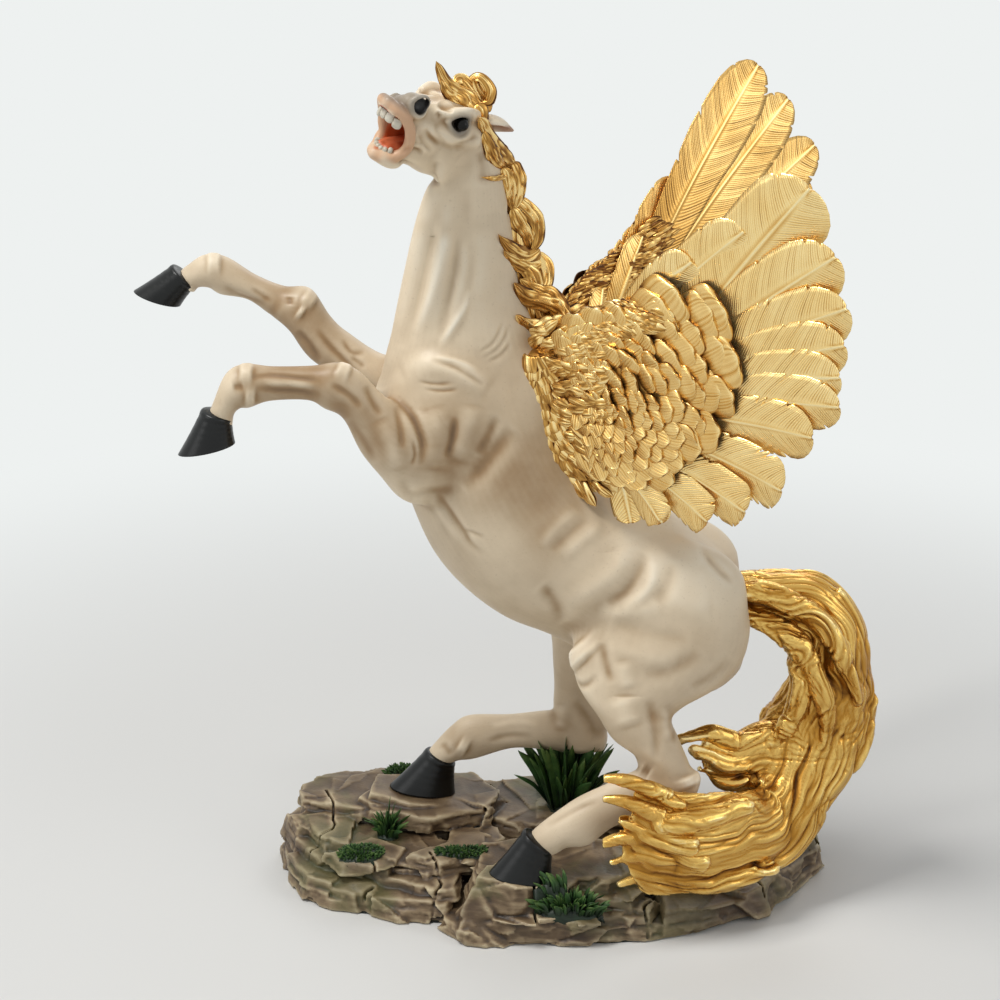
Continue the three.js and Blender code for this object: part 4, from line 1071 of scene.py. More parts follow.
def vane(axis, half, outer, thick, tilt, camber, barb=BARB_SPACING, groove=0.34, shaft=0.5, notches=3):
    """A feather in the wing's own frame, along rows of out, up and height, with a shaft and barbs."""
    axis = np.asarray(axis, float)
    length = np.linalg.norm(np.diff(axis, axis=0), axis=1).sum()
    rows = max(8, int(length / barb * BARB_ROWS))
    t = np.linspace(0, 1, rows)
    middle = smooth_rows(axis, rows)
    way = unit(np.gradient(middle, axis=0))
    lift = np.array([0.0, 0.0, float(outer)])
    beside = unit(np.cross(lift, way)) * outer
    lift = np.cross(way, beside) * outer
    phase = t * length / barb + chance.uniform()
    comb = (1 - np.abs(np.sin(math.pi * phase))) ** 2.2
    clump = np.sin(phase * 1.3 + chance.uniform(0, 6)) * np.sin(phase * 0.57 + chance.uniform(0, 6))
    comb = (comb * (0.65 + 0.35 * clump))[:, None]
    width = np.interp(t, VANE_WIDTH[:, 0], VANE_WIDTH[:, 1])[:, None] * half * np.ones(len(VANE_COLUMNS))
    for edge in (VANE_COLUMNS < 0, VANE_COLUMNS > 0):
        cuts = np.zeros(rows)
        for _ in range(notches):
            at = chance.uniform(0.3, 0.93)
            cuts += chance.uniform(0.06, 0.2) * np.exp(-((t - at) * length / (0.6 * barb)) ** 2)
        width[:, edge] *= (1 - cuts)[:, None] ** np.abs(VANE_COLUMNS[edge]) ** 2
    c = VANE_COLUMNS[None, :]
    across = c * width
    hold = ease(np.abs(c), 0.05, 0.3)
    spine = shaft * np.exp(-(across / 0.6) ** 2) * (1.15 - t[:, None])
    carve = spine - groove * comb * hold * (1 - 0.8 * ease(np.abs(c), 0.8, 1))
    depth = thick / 2 * (1 - 0.7 * c ** 2) * (1 - 0.35 * t[:, None])
    height = tilt * across - camber * half * c ** 2
    drawn = VANE_SWEEP * (1 - 0.7 * ease(t, 0.65, 1))[:, None]
    spread = middle[:, None] + way[:, None] * (drawn * np.abs(c) ** 1.3 * width)[..., None]
    spread = spread + beside[:, None] * across[..., None]
    top = spread + lift[:, None] * (height + depth + carve)[..., None]
    bottom = spread + lift[:, None] * (height - depth - carve)[..., None]
    points = np.concatenate([top, bottom[:, ::-1]], 1)
    # Painted shade at the covered root, beside the shaft and in the grooves between the barbs; a painted
    # highlight along the shaft
    root = VANE_ROOT_SHADE * (1 - ease(t, 0.15, 0.5))[:, None]
    beside_shaft = np.exp(-((np.abs(across) - 1.0) / 0.35) ** 2)
    note = 0.74 - 0.58 * comb * hold - 0.25 * beside_shaft
    note = note + 0.15 * np.exp(-(across / 0.5) ** 2) - root
    note = np.concatenate([note, note[:, ::-1]], 1)
    return points.reshape(-1, 3), tube_quads(rows, points.shape[1]), note.ravel()


# Places round a lock, close together on its top side
LOCK_TURNS = np.concatenate([np.linspace(-0.12, 1.12, 36), np.linspace(1.24, 1.76, 6)]) * math.pi
LOCK_GROOVE = 0.2
LOCK_TIP = 0.04


def lock(path, outwards, half, thick, strands, spacing=0.9, taper=(0.1, 0.4)):
    """A lock of combed hair along a path. half and thick may change along it; outwards is its top side."""
    path = np.asarray(path, float)
    length = np.linalg.norm(np.diff(path, axis=0), axis=1).sum()
    rows = max(8, int(length / spacing))
    t = np.linspace(0, 1, rows)
    middle = smooth_rows(path, rows)
    way = unit(np.gradient(middle, axis=0))
    top = smooth_rows(np.asarray(outwards, float), rows)
    top = unit(top - way * np.einsum("ij,ij->i", top, way)[:, None])
    beside = np.cross(way, top)
    halves = np.interp(t, np.linspace(0, 1, np.size(half)), np.atleast_1d(half))
    thicks = np.interp(t, np.linspace(0, 1, np.size(thick)), np.atleast_1d(thick))
    size = np.maximum(np.sqrt(ease(t, -0.02, taper[0])) * (1 - ease(t, 1 - taper[1], 1.02)) ** 0.8, LOCK_TIP)
    turn = LOCK_TURNS[None, :]
    groove = 1.7 * halves.max() / strands
    across = np.cos(turn) * halves.max() + chance.uniform(0, 400) + 0.45 * np.sin(t * 4)[:, None]
    comb = 1 - np.minimum(np.abs(wander(across, t[:, None] * length / 7, 0, groove, 90)) * 2.3, 1)
    comb = comb ** 0.8 * ease(np.sin(turn), -0.35, 0.1)
    reach = 1 - LOCK_GROOVE * comb
    points = (middle[:, None] + beside[:, None] * (np.cos(turn) * reach * (halves * size)[:, None])[..., None]
              + top[:, None] * (np.sin(turn) * reach * (thicks * size)[:, None])[..., None])
    # Painted shade in the grooves and along the lock's sides, where it meets its neighbours
    note = 0.72 - 0.48 * comb - 0.4 * np.exp(-((np.sin(turn) - 0.05) / 0.3) ** 2)
    return points.reshape(-1, 3), tube_quads(rows, len(LOCK_TURNS)), note.ravel()


def gathered(parts):
    """Several parts as one: points, quads and note."""
    points, quads = together(parts)
    return points, quads, np.concatenate([part[2] for part in parts])


def make_parts(name, parts, material, replaced):
    """A piece of hair or leaves, shaded by the notes of its parts."""
    points, quads, note = gathered(parts)
    make_piece(name, points, quads, material, replaced, {"stand": note})


def bundle(rows, count, half_share, thick_share, turns, strands, wild=0.0):
    """Locks that wind about one path of points and radii, like a twisted strand."""
    rows = smooth_rows(rows, (len(rows) - 1) * 6 + 1)
    path, radius = rows[:, :3], rows[:, 3:4]
    way = unit(np.gradient(path, axis=0))
    guide = np.where(np.abs(way[:, 1:2]) > 0.85, [[1.0, 0, 0]], [[0, 1.0, 0]])
    first = unit(guide - way * np.einsum("ij,ij->i", guide, way)[:, None])
    second = np.cross(way, first)
    t = np.linspace(0, 1, len(rows))
    parts = []
    for k in range(count):
        angle = 2 * math.pi * (k / count + turns * t) + chance.uniform(-wild, wild)
        aim = first * np.cos(angle)[:, None] + second * np.sin(angle)[:, None]
        place = path + aim * radius * 0.55
        parts.append(lock(place, aim, radius[:, 0] * half_share, radius[:, 0] * thick_share, strands,
                          taper=(0.1, chance.uniform(0.3, 0.5))))
    return parts


# Wings, built in their own frame of out, up and height over the wing's middle plane

def wing_axes(side):
    """Out, up and outer face of the wing; side is -1 for the left wing and 1 for the right one."""
    out = np.array([math.cos(WING_SPREAD), side * math.sin(WING_SPREAD), 0])
    level = np.array([-math.sin(WING_SPREAD), side * math.cos(WING_SPREAD), 0])
    up = level * math.sin(WING_LEAN) + UP * math.cos(WING_LEAN)
    face = level * math.cos(WING_LEAN) - UP * math.sin(WING_LEAN)
    return np.stack([out, up, face])


def from_wing(side, points):
    return points @ wing_axes(side) + np.array([WING_ROOT[0], side * WING_ROOT[1], WING_ROOT[2]])


# Long feathers as root, tip and half width
FEATHERS_LEFT = [
    [[30, 42], [70, 82], 9], [[40, 44], [94, 98], 11], [[52, 26], [123, 119], 17],
    [[52, 24], [134, 92], 14], [[52, 22], [139, 71], 13], [[52, 20], [138, 55], 12],
    [[50, 18], [136, 41], 11.5], [[48, 14], [136, 28], 11.5], [[46, 9], [124, 12.5], 12],
    [[44, 1], [110, -14], 12.5], [[36, -8], [93, -27], 11.5], [[28, -12], [75, -35], 10.5],
    [[20, -12], [52, -39], 8.5],
]
FEATHERS_RIGHT = [
    [[50, 50], [121, 141], 13], [[52, 42], [138, 124], 12.5], [[54, 36], [153, 101], 12.5],
    [[54, 30], [149, 84], 12], [[52, 24], [146, 60], 12], [[50, 18], [138, 36], 12],
    [[46, 12], [126, 10], 12], [[42, 6], [110, -12], 11.5], [[34, 0], [90, -30], 11],
    [[26, -4], [66, -36], 10.5], [[36, 46], [74, 92], 8], [[28, 40], [54, 70], 7],
]
# Edge of the coverts, as angle in degrees and reach from their centre
COVERT_CENTRE = np.array([23.0, 12.0])
COVERT_REACH = np.array([(-150, 30), (-113, 37), (-90, 34), (-66, 41), (-41, 48), (-14, 50), (6, 58),
                         (25, 70), (44, 78), (56, 66), (67, 54), (86, 45), (124, 35), (150, 30)])
# Rows of coverts as share of that reach, count and length, from the outermost
COVERT_ROWS = ((1.08, 6, 19), (0.98, 16, 18), (0.88, 18, 16), (0.77, 17, 14), (0.66, 15, 13), (0.55, 15, 12),
               (0.45, 14, 10.5), (0.35, 12, 9.5), (0.25, 10, 8.5), (0.15, 7, 7.5))
# Layers of the inner face: count, first and last angle, start, length, half width and rise
FAN_LAYERS = ((10, 62, -72, 12, 58, 8.0, 2.4), (9, 78, -80, 2, 40, 6.5, 3.8), (8, 95, -85, -4, 24, 5, 5.0))
# Rows of the padded cuff at the wing's root: height, place outwards and half width
COLLAR_ROWS = [(-28, 0, 8), (-16, -3, 11), (0, -6, 12), (14, -8, 12), (26, -7, 8)]
COLLAR_HALF = 7.8


def plate_height(out, up):
    """Half thickness of the wing's padded inner part."""
    reach = np.hypot(out - 36, up - 18)
    return 4.4 - 1.8 * ease(reach, 18, 52)


def wing_plate():
    """The padded inner part that the coverts lie on."""
    angles = np.radians(np.linspace(-180, 180, 73)[:-1])
    reach = np.interp(np.degrees(angles), COVERT_REACH[:, 0], COVERT_REACH[:, 1], left=29, right=29) - 4
    rings = []
    for share, rise in ((0.02, 1), (0.3, 1), (0.6, 1), (0.85, 0.9), (0.97, 0.6), (1.0, 0.0), (0.97, -0.6),
                        (0.85, -0.9), (0.6, -1), (0.3, -1), (0.02, -1)):
        out = COVERT_CENTRE[0] + np.cos(angles) * reach * share
        up = COVERT_CENTRE[1] + np.sin(angles) * reach * share
        rings.append(np.stack([out, up, rise * plate_height(out, up)], 1))
    points = np.concatenate(rings)
    return points, tube_quads(len(rings), len(angles)), np.full(len(points), 0.35)


def primaries(feathers):
    """The long feathers, each bowed and a little higher than the one before."""
    parts = []
    for i, (start, end, half) in enumerate(feathers):
        start, end = np.array(start, float), np.array(end, float)
        way = (end - start) / np.linalg.norm(end - start)
        bow = np.array([-way[1], way[0]]) * 2.2
        layer = -1.2 + 1.6 * i / len(feathers)
        axis = [(*start, layer), (*(start * 0.6 + end * 0.4 + bow), layer + 0.4),
                (*(start * 0.3 + end * 0.7 + bow * 0.8), layer + 1.4), (*end, layer + 3.0)]
        parts.append(vane(axis, half * PRIMARY_WIDEN, **PRIMARY_VANE))
    return parts


def shell(axis, half, beside, thick, flutes):
    """A rounded flat feather like a shingle: fluted, with a thick free edge. beside is its cross way."""
    rows, columns = 17, 31
    t = np.linspace(0, 1, rows)[:, None]
    c = np.linspace(-1, 1, columns)[None, :]
    middle = smooth_rows(axis, rows)
    way = unit(np.gradient(middle, axis=0))
    beside = unit(np.array(beside, float) - way * (way @ np.array(beside, float))[:, None])
    lift = np.cross(way, beside)
    lift = lift * np.sign(lift[:, 2:3])
    tip = np.clip((t - 0.62) / 0.4, 0, 0.995)
    width = half * (0.78 + 0.22 * ease(t, 0, 0.4)) * np.sqrt(1 - tip ** 2.4)
    length = np.linalg.norm(middle[-1] - middle[0])
    fan = c * (1 + 0.1 * np.sin(c * 3 + chance.uniform(0, 6)))
    comb = (1 - np.abs(np.sin(flutes * fan * math.pi / 2 + chance.uniform(0, 3)))) ** 1.3
    comb = comb * ease(t, 0.0, 0.25) * (0.7 + 0.3 * np.sin(c * 7 + chance.uniform(0, 6)))
    dome = -0.1 * half * np.abs(c) ** 3 + 0.5 * np.sin(c * 2.2 + chance.uniform(0, 6)) * ease(t, 0.3, 1)
    depth = thick / 2 * (0.5 + 0.5 * ease(t, 0.3, 0.9)) * (1 - 0.4 * c ** 6)
    spread = middle[:, None] + beside[:, None] * (c * width)[..., None]
    spread = spread + way[:, None] * (0.22 * comb * ease(t, 0.85, 1) - 0.1 * length * c ** 2 * t)[..., None]
    top = spread + lift[:, None] * (dome + depth - 0.2 * comb)[..., None]
    bottom = spread + lift[:, None] * (dome - depth)[..., None]
    points = np.concatenate([top, bottom[:, ::-1]], 1)
    # Painted shade in the flutes, at the covered root and on the underside, and a painted highlight along the
    # free edge
    note = 0.62 - 0.3 * comb - 0.42 * (1 - ease(t, 0.15, 0.6)) + 0.2 * ease(t, 0.84, 1.0)
    note = np.concatenate([note, note[:, ::-1] - 0.5], 1)
    return points.reshape(-1, 3), tube_quads(rows, columns * 2), note.ravel()


def flat_way(angle):
    """The way out and up in the wing's plane at an angle."""
    return np.array([math.cos(angle), math.sin(angle)])


def outer_coverts():
    """Rows of scalloped feathers that overlap outwards on the wing's outer face."""
    parts = []
    for share, count, length in COVERT_ROWS:
        first, last = (-22, 62) if share > 1 else (-104, 120) if share > 0.5 else (-135, 140)
        for k in range(count):
            turn = first + (last - first) * (k + 0.5 + chance.uniform(-0.12, 0.12)) / count
            reach = np.interp(turn, COVERT_REACH[:, 0], COVERT_REACH[:, 1])
            reach = reach * (share + chance.uniform(-0.025, 0.025))
            half = 0.66 * reach * math.radians(last - first) / count
            spot = COVERT_CENTRE + reach * flat_way(math.radians(turn))
            aim = math.radians(turn * 0.72 + 4 + chance.uniform(-9, 9))
            way = flat_way(aim)
            size = chance.uniform(0.9, 1.15)
            root = spot - way * length * size
            low = plate_height(*root) - 0.9
            high = plate_height(*spot) + 1.7 + 0.5 * share + chance.uniform(-0.3, 0.5)
            axis = [(*root, low), (*((root + spot) / 2), (low + high) / 2 + 0.4), (*spot, high)]
            parts.append(shell(axis, half * size, (-way[1], way[0], chance.uniform(-0.16, 0.16)),
                               thick=1.3 + 0.4 * share, flutes=half * size * 1.5))
    return parts


def root_hair():
    """Small tufts between the wing's root and its coverts, on both faces."""
    parts = []
    for face in (1, -1):
        for up in np.arange(-26, 44, 5.4):
            for out in np.arange(-10, 21, 5.8):
                start = np.array([out + chance.uniform(-1.2, 1.2), up + chance.uniform(-1.2, 1.2)])
                aim = math.radians(-12 + 1.0 * up + chance.uniform(-22, 22))
                way = flat_way(aim)
                length = chance.uniform(10, 14)
                path = []
                for share, lift in ((0, -0.6), (0.5, 1.3), (1, 1.0)):
                    place = start + way * length * share
                    path.append((*place, face * (plate_height(*place) + lift)))
                half = chance.uniform(2.6, 3.6)
                parts.append(lock(path, [(0, 0, face)] * 3, half, thick=1.2, strands=6, spacing=0.7,
                                  taper=(0.2, 0.35)))
    return parts


def inner_fan():
    """Longer, narrower feathers that fan out over the wing's inner face."""
    parts = []
    for count, first, last, start, length, half, rise in FAN_LAYERS:
        for k in range(count):
            turn = math.radians(first + (last - first) * k / (count - 1))
            way = flat_way(turn)
            reach = np.interp(math.degrees(turn), COVERT_REACH[:, 0], COVERT_REACH[:, 1])
            root = np.array([16.0, 8.0]) + way * start
            end = root + way * min(length, reach + 6)
            side = np.array([-way[1], way[0]])
            middle = (root + end) / 2 + side * 1.5
            axis = [(*root, 0.3 - plate_height(*root)), (*middle, -plate_height(*middle) - rise),
                    (*end, -plate_height(*end) - rise * 0.6)]
            parts.append(vane(axis, half, **LINING_VANE))
    return parts


def leading_hair(edge):
    """Short strands combed along the front edge of the wing."""
    parts = []
    line = smooth_rows(edge, 80)
    for face in (1, -1):
        for lane in (0.0, 2.6, 5.2, 7.8, 10.4):
            for k in range(22):
                i = int(1 + k * 3 + chance.uniform(0, 2))
                way = unit(line[min(i + 10, 79)] - line[min(i, 69)])
                inwards = np.array([way[1], -way[0]])
                start = line[i] + inwards * (lane + chance.uniform(-0.8, 0.8))
                length = chance.uniform(8, 12)
                lift = 2.0 + 2.6 * ease(lane, 0, 6)
                end = start + way * length * 0.85 + inwards * length * 0.4
                middle = (start + end) / 2 - inwards * 0.8
                path = [(*start, face * (lift - 1)), (*middle, face * (lift + 0.9)),
                        (*end, face * (lift + 0.5))]
                half = chance.uniform(1.7, 2.5)
                parts.append(lock(path, [(0, 0, face)] * 3, half, thick=1.1, strands=4, spacing=0.8,
                                  taper=(0.2, 0.45)))
    return parts


def collar():
    """The root of the wing: a padded cuff covered in small pointed feathers."""
    levels, places, halves = np.array(COLLAR_ROWS, float).T
    table = smooth_rows(COLLAR_ROWS, 33)
    none = np.zeros(33)
    middle = np.stack([table[:, 1], table[:, 0], none], 1)
    tall = np.stack([table[:, 2], none, none], 1)
    points, quads = ring_skin(middle, tall, np.tile([0, 0, COLLAR_HALF], (33, 1)), 36, (4, 6))
    parts = [(points, quads, np.full(len(points), 0.4))]
    for sign in (1, -1):
        for level in np.arange(27, -31, -3.6):
            middle_out = np.interp(level, levels, places)
            half_out = np.interp(level, levels, halves)
            for share in np.arange(-0.9, 0.95, 0.3) + chance.uniform(-0.08, 0.08):
                way = flat_way(math.radians(-78 + 34 * share + chance.uniform(-14, 14)))
                length = chance.uniform(8, 10.5)
                root = np.array([middle_out + half_out * share, level + 2]) - way * 2
                end = root + way * length
                across = min(share + way[0] * length / half_out, 1)
                root_lift = COLLAR_HALF * math.sqrt(max(0.05, 1 - share ** 2))
                end_lift = COLLAR_HALF * math.sqrt(max(0.04, 1 - across ** 2)) + 0.9
                middle_lift = (root_lift + end_lift) / 2 + 0.5
                path = [(*root, sign * (root_lift - 0.9)), (*((root + end) / 2), sign * middle_lift),
                        (*end, sign * end_lift)]
                parts.append(lock(path, [(share * 0.8, 0, sign)] * 3, half=3.2, thick=1.5, strands=5,
                                  spacing=0.8, taper=(0.15, 0.35)))
    return parts


def make_wing(name, side, feathers, edge, light_and_shade_shift):
    """One wing's four pieces; edge is its front edge, and the last argument shifts its gold paler or darker:
    painted light on the near left wing, painted shade on the far right one.
    """
    groups = (("feathers", primaries(feathers), ("wing_" + name,)),
              ("coverts", [wing_plate()] + outer_coverts() + root_hair() + leading_hair(edge), ()),
              ("lining", inner_fan(), ()),
              ("collar", collar(), ("wing_root_" + name,)))
    for label, parts, replaced in groups:
        points, quads, note = gathered(parts)
        make_piece(f"wing_{name}_{label}", from_wing(side, points), quads, GOLD, replaced,
                   {"stand": note + light_and_shade_shift})


# The near left wing is made paler as painted light, the far right one darker as painted shade
make_wing("left", -1, FEATHERS_LEFT, [(2, 34), (16, 48), (30, 57), (44, 61), (56, 66)], 0.06)
make_wing("right", 1, FEATHERS_RIGHT, [(2, 34), (14, 50), (30, 60), (48, 70), (60, 82)], -0.1)

# Tail: a falling plume that turns under and forward in two sheets, as upper point, lower point and half width
TAIL_COLUMN = [
    [[79, 0, 160], [83, 0, 142], 8],
    [[101, 1, 161], [100, 1, 135], 12],
    [[121, 2, 159], [107, 2, 129], 14],
    [[137, 3, 145], [113, 3, 121], 15],
    [[146, 3, 124], [111, 4, 109], 15],
    [[148, 2, 102], [104, 4, 96], 15],
    [[144, -1, 80], [98, 1, 82], 12],
]
TAIL_BACK_SHEET = [
    [[100, 2, 92], [141, 2, 84], 12],
    [[104, -4, 91], [124, -5, 60], 9],
    [[92, -10, 91], [97, -12, 58], 7],
    [[80, -15, 87], [80, -17, 60], 5.5],
    [[69, -18, 91], [71, -19, 69], 4],
]
TAIL_FRONT_SHEET = [
    [[98, 1, 88], [147, 2, 92], 12],
    [[97, -5, 79], [142, -5, 71], 11],
    [[96, -13, 72], [131, -12, 53], 10],
    [[94, -25, 68], [113, -22, 29], 8.5],
    [[86, -37, 69], [89, -38, 25], 7],
    [[67, -48, 73], [65, -49, 24], 5.5],
    [[44, -54, 79], [40, -54, 27], 5],
    [[32, -56, 82], [34, -56, 36], 3.2],
]


def combing(across, through, along, sway, forms, seed):
    """Height of combed hair at places in its flow; forms are rows of height, width and length."""
    across = (across + sway * wander(across / 2, through / 2, along, 24, seed)
              + 0.25 * sway * wander(across, through, along, 9, seed + 9))
    height = 0
    for k, (amount, width, length) in enumerate(forms):
        value = wander(across, through, along * width / length, width, seed + k + 1)
        height = height + amount * (0.4 - (1 - np.minimum(np.abs(value) * 2.1, 1)) ** 2)
    return height


def flow_rings(rows):
    """Rings through the rows of a branch of hair, and how far along it they lie."""
    middle, tall, wide = pair_rings(rows, 26)
    along = np.concatenate([[0], np.cumsum(np.linalg.norm(np.diff(middle, axis=0), axis=1))])
    return middle, tall, wide, along


def ragged_skin(middle, tall, wide, along, depth, seed):
    """The skin of a branch whose far end is drawn out into points."""
    sides = 80
    points, quads = ring_skin(middle, tall, wide, sides, (4, 3))
    sheet = points.reshape(-1, sides, 3)
    ring = np.clip(np.arange(len(sheet)) - 5, 0, len(middle) - 1)
    reach = ease(along[ring], along[-1] - 24, along[-1])[:, None]
    turn = np.arange(sides) * 2 * math.pi / sides
    level = np.linalg.norm(tall[-1]) * np.cos(turn) + 50
    drawn = np.minimum(np.abs(wander(level, 0, 0, 7, seed)) * 2.4, 1) ** 0.8
    sheet = sheet + unit(middle[-1] - middle[-4]) * (depth * (1.6 * drawn - 1) * reach)[..., None]
    return sheet.reshape(-1, 3), quads


def between(table, place):
    """Values of a table at places between its rows."""
    i = np.minimum(place.astype(int), len(table) - 2)
    share = (place - i)[:, None]
    return table[i] * (1 - share) + table[i + 1] * share


def branch_combing(points, branches, sway, forms):
    """Combed height over points, flowing along the nearest branches."""
    total, weights = 0, 1e-9
    for middle, tall, wide, along, seed in branches:
        place = np.zeros(len(points))
        best = np.full(len(points), 1e9)
        for i in range(0, len(middle), 2):
            gap = np.sum((points - middle[i]) ** 2, axis=1)
            closer = gap < best
            best[closer] = gap[closer]
            place[closer] = i
        way = unit(np.gradient(middle, axis=0))
        spacing = np.gradient(along)[:, None]
        for _ in range(4):
            ahead = np.einsum("ij,ij->i", points - between(middle, place), between(way, place))
            place = np.clip(place + 0.8 * ahead / between(spacing, place)[:, 0], 0, len(middle) - 1)
        offset = points - between(middle, place)
        tall_here, wide_here = between(tall, place), between(wide, place)
        high, broad = np.linalg.norm(tall_here, axis=1), np.linalg.norm(wide_here, axis=1)
        across = np.einsum("ij,ij->i", offset, unit(tall_here))
        through = np.einsum("ij,ij->i", offset, unit(wide_here))
        ahead = np.einsum("ij,ij->i", offset, between(way, place))
        outside = (np.sqrt((across / high) ** 2 + (through / broad) ** 2) - 1) * np.minimum(high, broad)
        beyond = np.maximum(np.abs(ahead) - 3, 0)
        share = np.exp(-(np.maximum(outside, 0) / 3) ** 2 - (beyond / 5) ** 2) + 1e-6
        distance = between(along[:, None], place)[:, 0] + ahead
        total = total + share * combing(across, through, distance, sway, forms, seed)
        weights = weights + share
    return total / weights


# Locks of the tail, as pixel, place along Y and radius: the plume's, the back sheet's, then the front sheet's
TAIL_LOCKS = [
    [(712, 590, -10, 2), (760, 592, -13, 4), (808, 612, -14, 5), (838, 650, -14, 4.5), (858, 700, -11, 3)],
    [(735, 608, -11, 2.5), (785, 632, -14, 5), (815, 672, -16, 5), (828, 720, -14, 4), (815, 760, -12, 2)],
    [(795, 650, -13, 3), (800, 690, -15, 4.5), (788, 724, -14, 4), (762, 748, -13, 2)],
    [(838, 596, -2, 3), (858, 640, 0, 3.5), (870, 690, 0, 3), (872, 720, -1, 1.2)],
    [(872, 725, -2, 2), (861, 752, -4, 3), (838, 780, -10, 3), (815, 804, -18, 1.5)],
    [(770, 730, -10, 3.5), (735, 740, -17, 4), (708, 732, -20, 3), (688, 736, -22, 1.8), (675, 743, -23, 1)],
    [(770, 757, -13, 4), (735, 766, -20, 4), (708, 757, -23, 3), (694, 750, -24, 1.2)],
    [(765, 782, -17, 3), (725, 779, -21, 3.2), (702, 770, -23, 1.2)],
    [(680, 806, -55, 2.5), (648, 788, -56, 3.2), (622, 780, -57, 2.8), (594, 778, -56, 1.1)],
    [(680, 822, -56, 3), (650, 812, -58, 3.5), (626, 802, -58, 2.8), (602, 799, -57, 1.1)],
    [(690, 846, -56, 3.5), (648, 838, -57, 3.4), (622, 838, -58, 3), (592, 848, -57, 1.2)],
    [(700, 862, -53, 3.5), (664, 858, -55, 3.2), (638, 856, -57, 2.6), (612, 862, -57, 1.2)],
    [(705, 878, -49, 3.5), (672, 876, -52, 3.6), (646, 876, -54, 2.4), (620, 884, -54, 1.2)],
    [(770, 866, -38, 3.5), (728, 880, -46, 3.5), (692, 886, -49, 3), (660, 886, -52, 1.3)],
    [(745, 806, -44, 3), (700, 818, -54, 4.5), (660, 824, -59, 3.5)],
]
TAIL_STEP = 0.5
# Branches as rows, depth of the ragged end and seed
TAIL_BRANCHES = ((TAIL_COLUMN, 0, 41), (TAIL_BACK_SHEET, 5, 52), (TAIL_FRONT_SHEET, 7, 63))
TAIL_BAND = 6
TAIL_BLEND = 7
TAIL_FORMS = ((2.3, 13, 55), (1.2, 6, 42), (0.65, 2.6, 30), (0.35, 1.2, 20))
TAIL_SWAY = 9
TAIL_DEEPEST = -1.5
# Along x, the combing grows from its shallow share at the loose ends to its full depth
TAIL_SHALLOW = 0.3
TAIL_FADE = (34, 56)
tail_clay = Clay((20, -68, 18), (156, 24, 172), TAIL_STEP, TAIL_BAND)
branches = []
for rows, depth, seed in TAIL_BRANCHES:
    rings = flow_rings(rows)
    tail_clay.add_skin(*ragged_skin(*rings, depth, seed), TAIL_BLEND)
    branches.append((*rings, seed))
for rows in TAIL_LOCKS:
    tail_clay.cord([(*from_picture(x, y, sideways), radius) for x, y, sideways, radius in rows], 1.6)
points, quads = tail_clay.skin()
height = np.maximum(branch_combing(points, branches, TAIL_SWAY, TAIL_FORMS), TAIL_DEEPEST)
height = height * (TAIL_SHALLOW + (1 - TAIL_SHALLOW) * ease(points[:, 0], *TAIL_FADE))
points = points + corner_normals(points, quads) * height[:, None]
normals = corner_normals(points, quads)
# Dark in the grooves and pale on the ridges of the combed hair, as painted shade and painted highlights
note = np.clip(0.52 + 0.5 * bulge(points, quads, normals, 10) + 0.06 * height, 0.06, 0.86)
make_piece("tail_hair", points, quads, GOLD_TAIL_SHADED, ("tail",), {"stand": note})

# Hair on the crest of the neck, as rows of a point and a radius
CREST = [(-30, 0, 362, 3), (-24, 3, 346, 4.4), (-21, 5, 324, 4.6), (-18, 5, 302, 5), (-11, 3, 284, 5),
         (-4, 0, 268, 4)]
# Locks of the mane, as rows of a pixel and a half width; each lies on both sides of the neck
MANE_LOCKS = [
    [(480, 118, 2.7), (489, 134, 3.1), (498, 150, 4.1), (509, 160, 3.5), (518, 170, 2.3)],
    [(484, 132, 1.8), (491, 150, 3.5), (498, 163, 3.5), (507, 168, 2.3)],
    [(518, 168, 1.5), (506, 176, 1.5), (494, 179, 1.2), (481, 177, 0.8)],
    [(512, 162, 3.5), (518, 178, 4.1), (518, 194, 3.5), (514, 212, 2.3)],
    [(503, 168, 2.7), (508, 184, 3.5), (510, 198, 3.5), (513, 212, 1.8)],
    [(510, 198, 2.7), (522, 206, 4.1), (535, 220, 4.5), (537, 240, 3.5), (528, 258, 1.8)],
    [(512, 208, 2.7), (518, 222, 4.1), (527, 236, 4.1), (533, 254, 2.7)],
    [(540, 250, 2.7), (527, 256, 4.5), (510, 249, 4.1), (498, 234, 1.5)],
    [(543, 264, 2.7), (528, 267, 4.1), (512, 260, 3.1), (503, 250, 1.4)],
    [(534, 254, 2.7), (544, 266, 4.5), (545, 282, 4.1), (536, 296, 1.8)],
    [(522, 266, 2.7), (531, 276, 4.5), (538, 290, 3.5), (548, 300, 1.8)],
    [(514, 283, 1.6), (526, 296, 4.5), (545, 301, 4.9), (560, 309, 4.5), (565, 326, 4.1),
     (558, 342, 2.7), (551, 353, 1.2)],
    [(520, 279, 1.8), (536, 290, 4.1), (552, 296, 4.5), (564, 310, 3.5), (568, 328, 1.8)],
    [(516, 315, 1.2), (529, 325, 3.2), (546, 324, 3.5), (559, 316, 2.3)],
]
MANE_TOUCH = 1.8
MANE_THICK = 0.34
# Places along Y to look for the seat of a lock, on the left side and on the right one
MANE_NEAR = np.arange(-28, 8, 0.5)
MANE_FAR = np.arange(26, 2, -0.5)
MANE_FAR_SHIFT = 2.5
neck_part = body_points[(body_points[:, 2] > 236) & (body_points[:, 0] > -72)][::25]
at_ear = (head_points[:, 0] < -16) & (np.abs(head_points[:, 1]) > 8) & (head_points[:, 2] > -2)
head_part = world_points[(world_points[:, 2] > 330) & ~at_ear][::60]
crest_line = smooth_rows(CREST, 60)
mane_ground = np.concatenate([neck_part, head_part, crest_line[:, :3]])
mane_depth = np.concatenate([np.zeros(len(neck_part) + len(head_part)), crest_line[:, 3]])


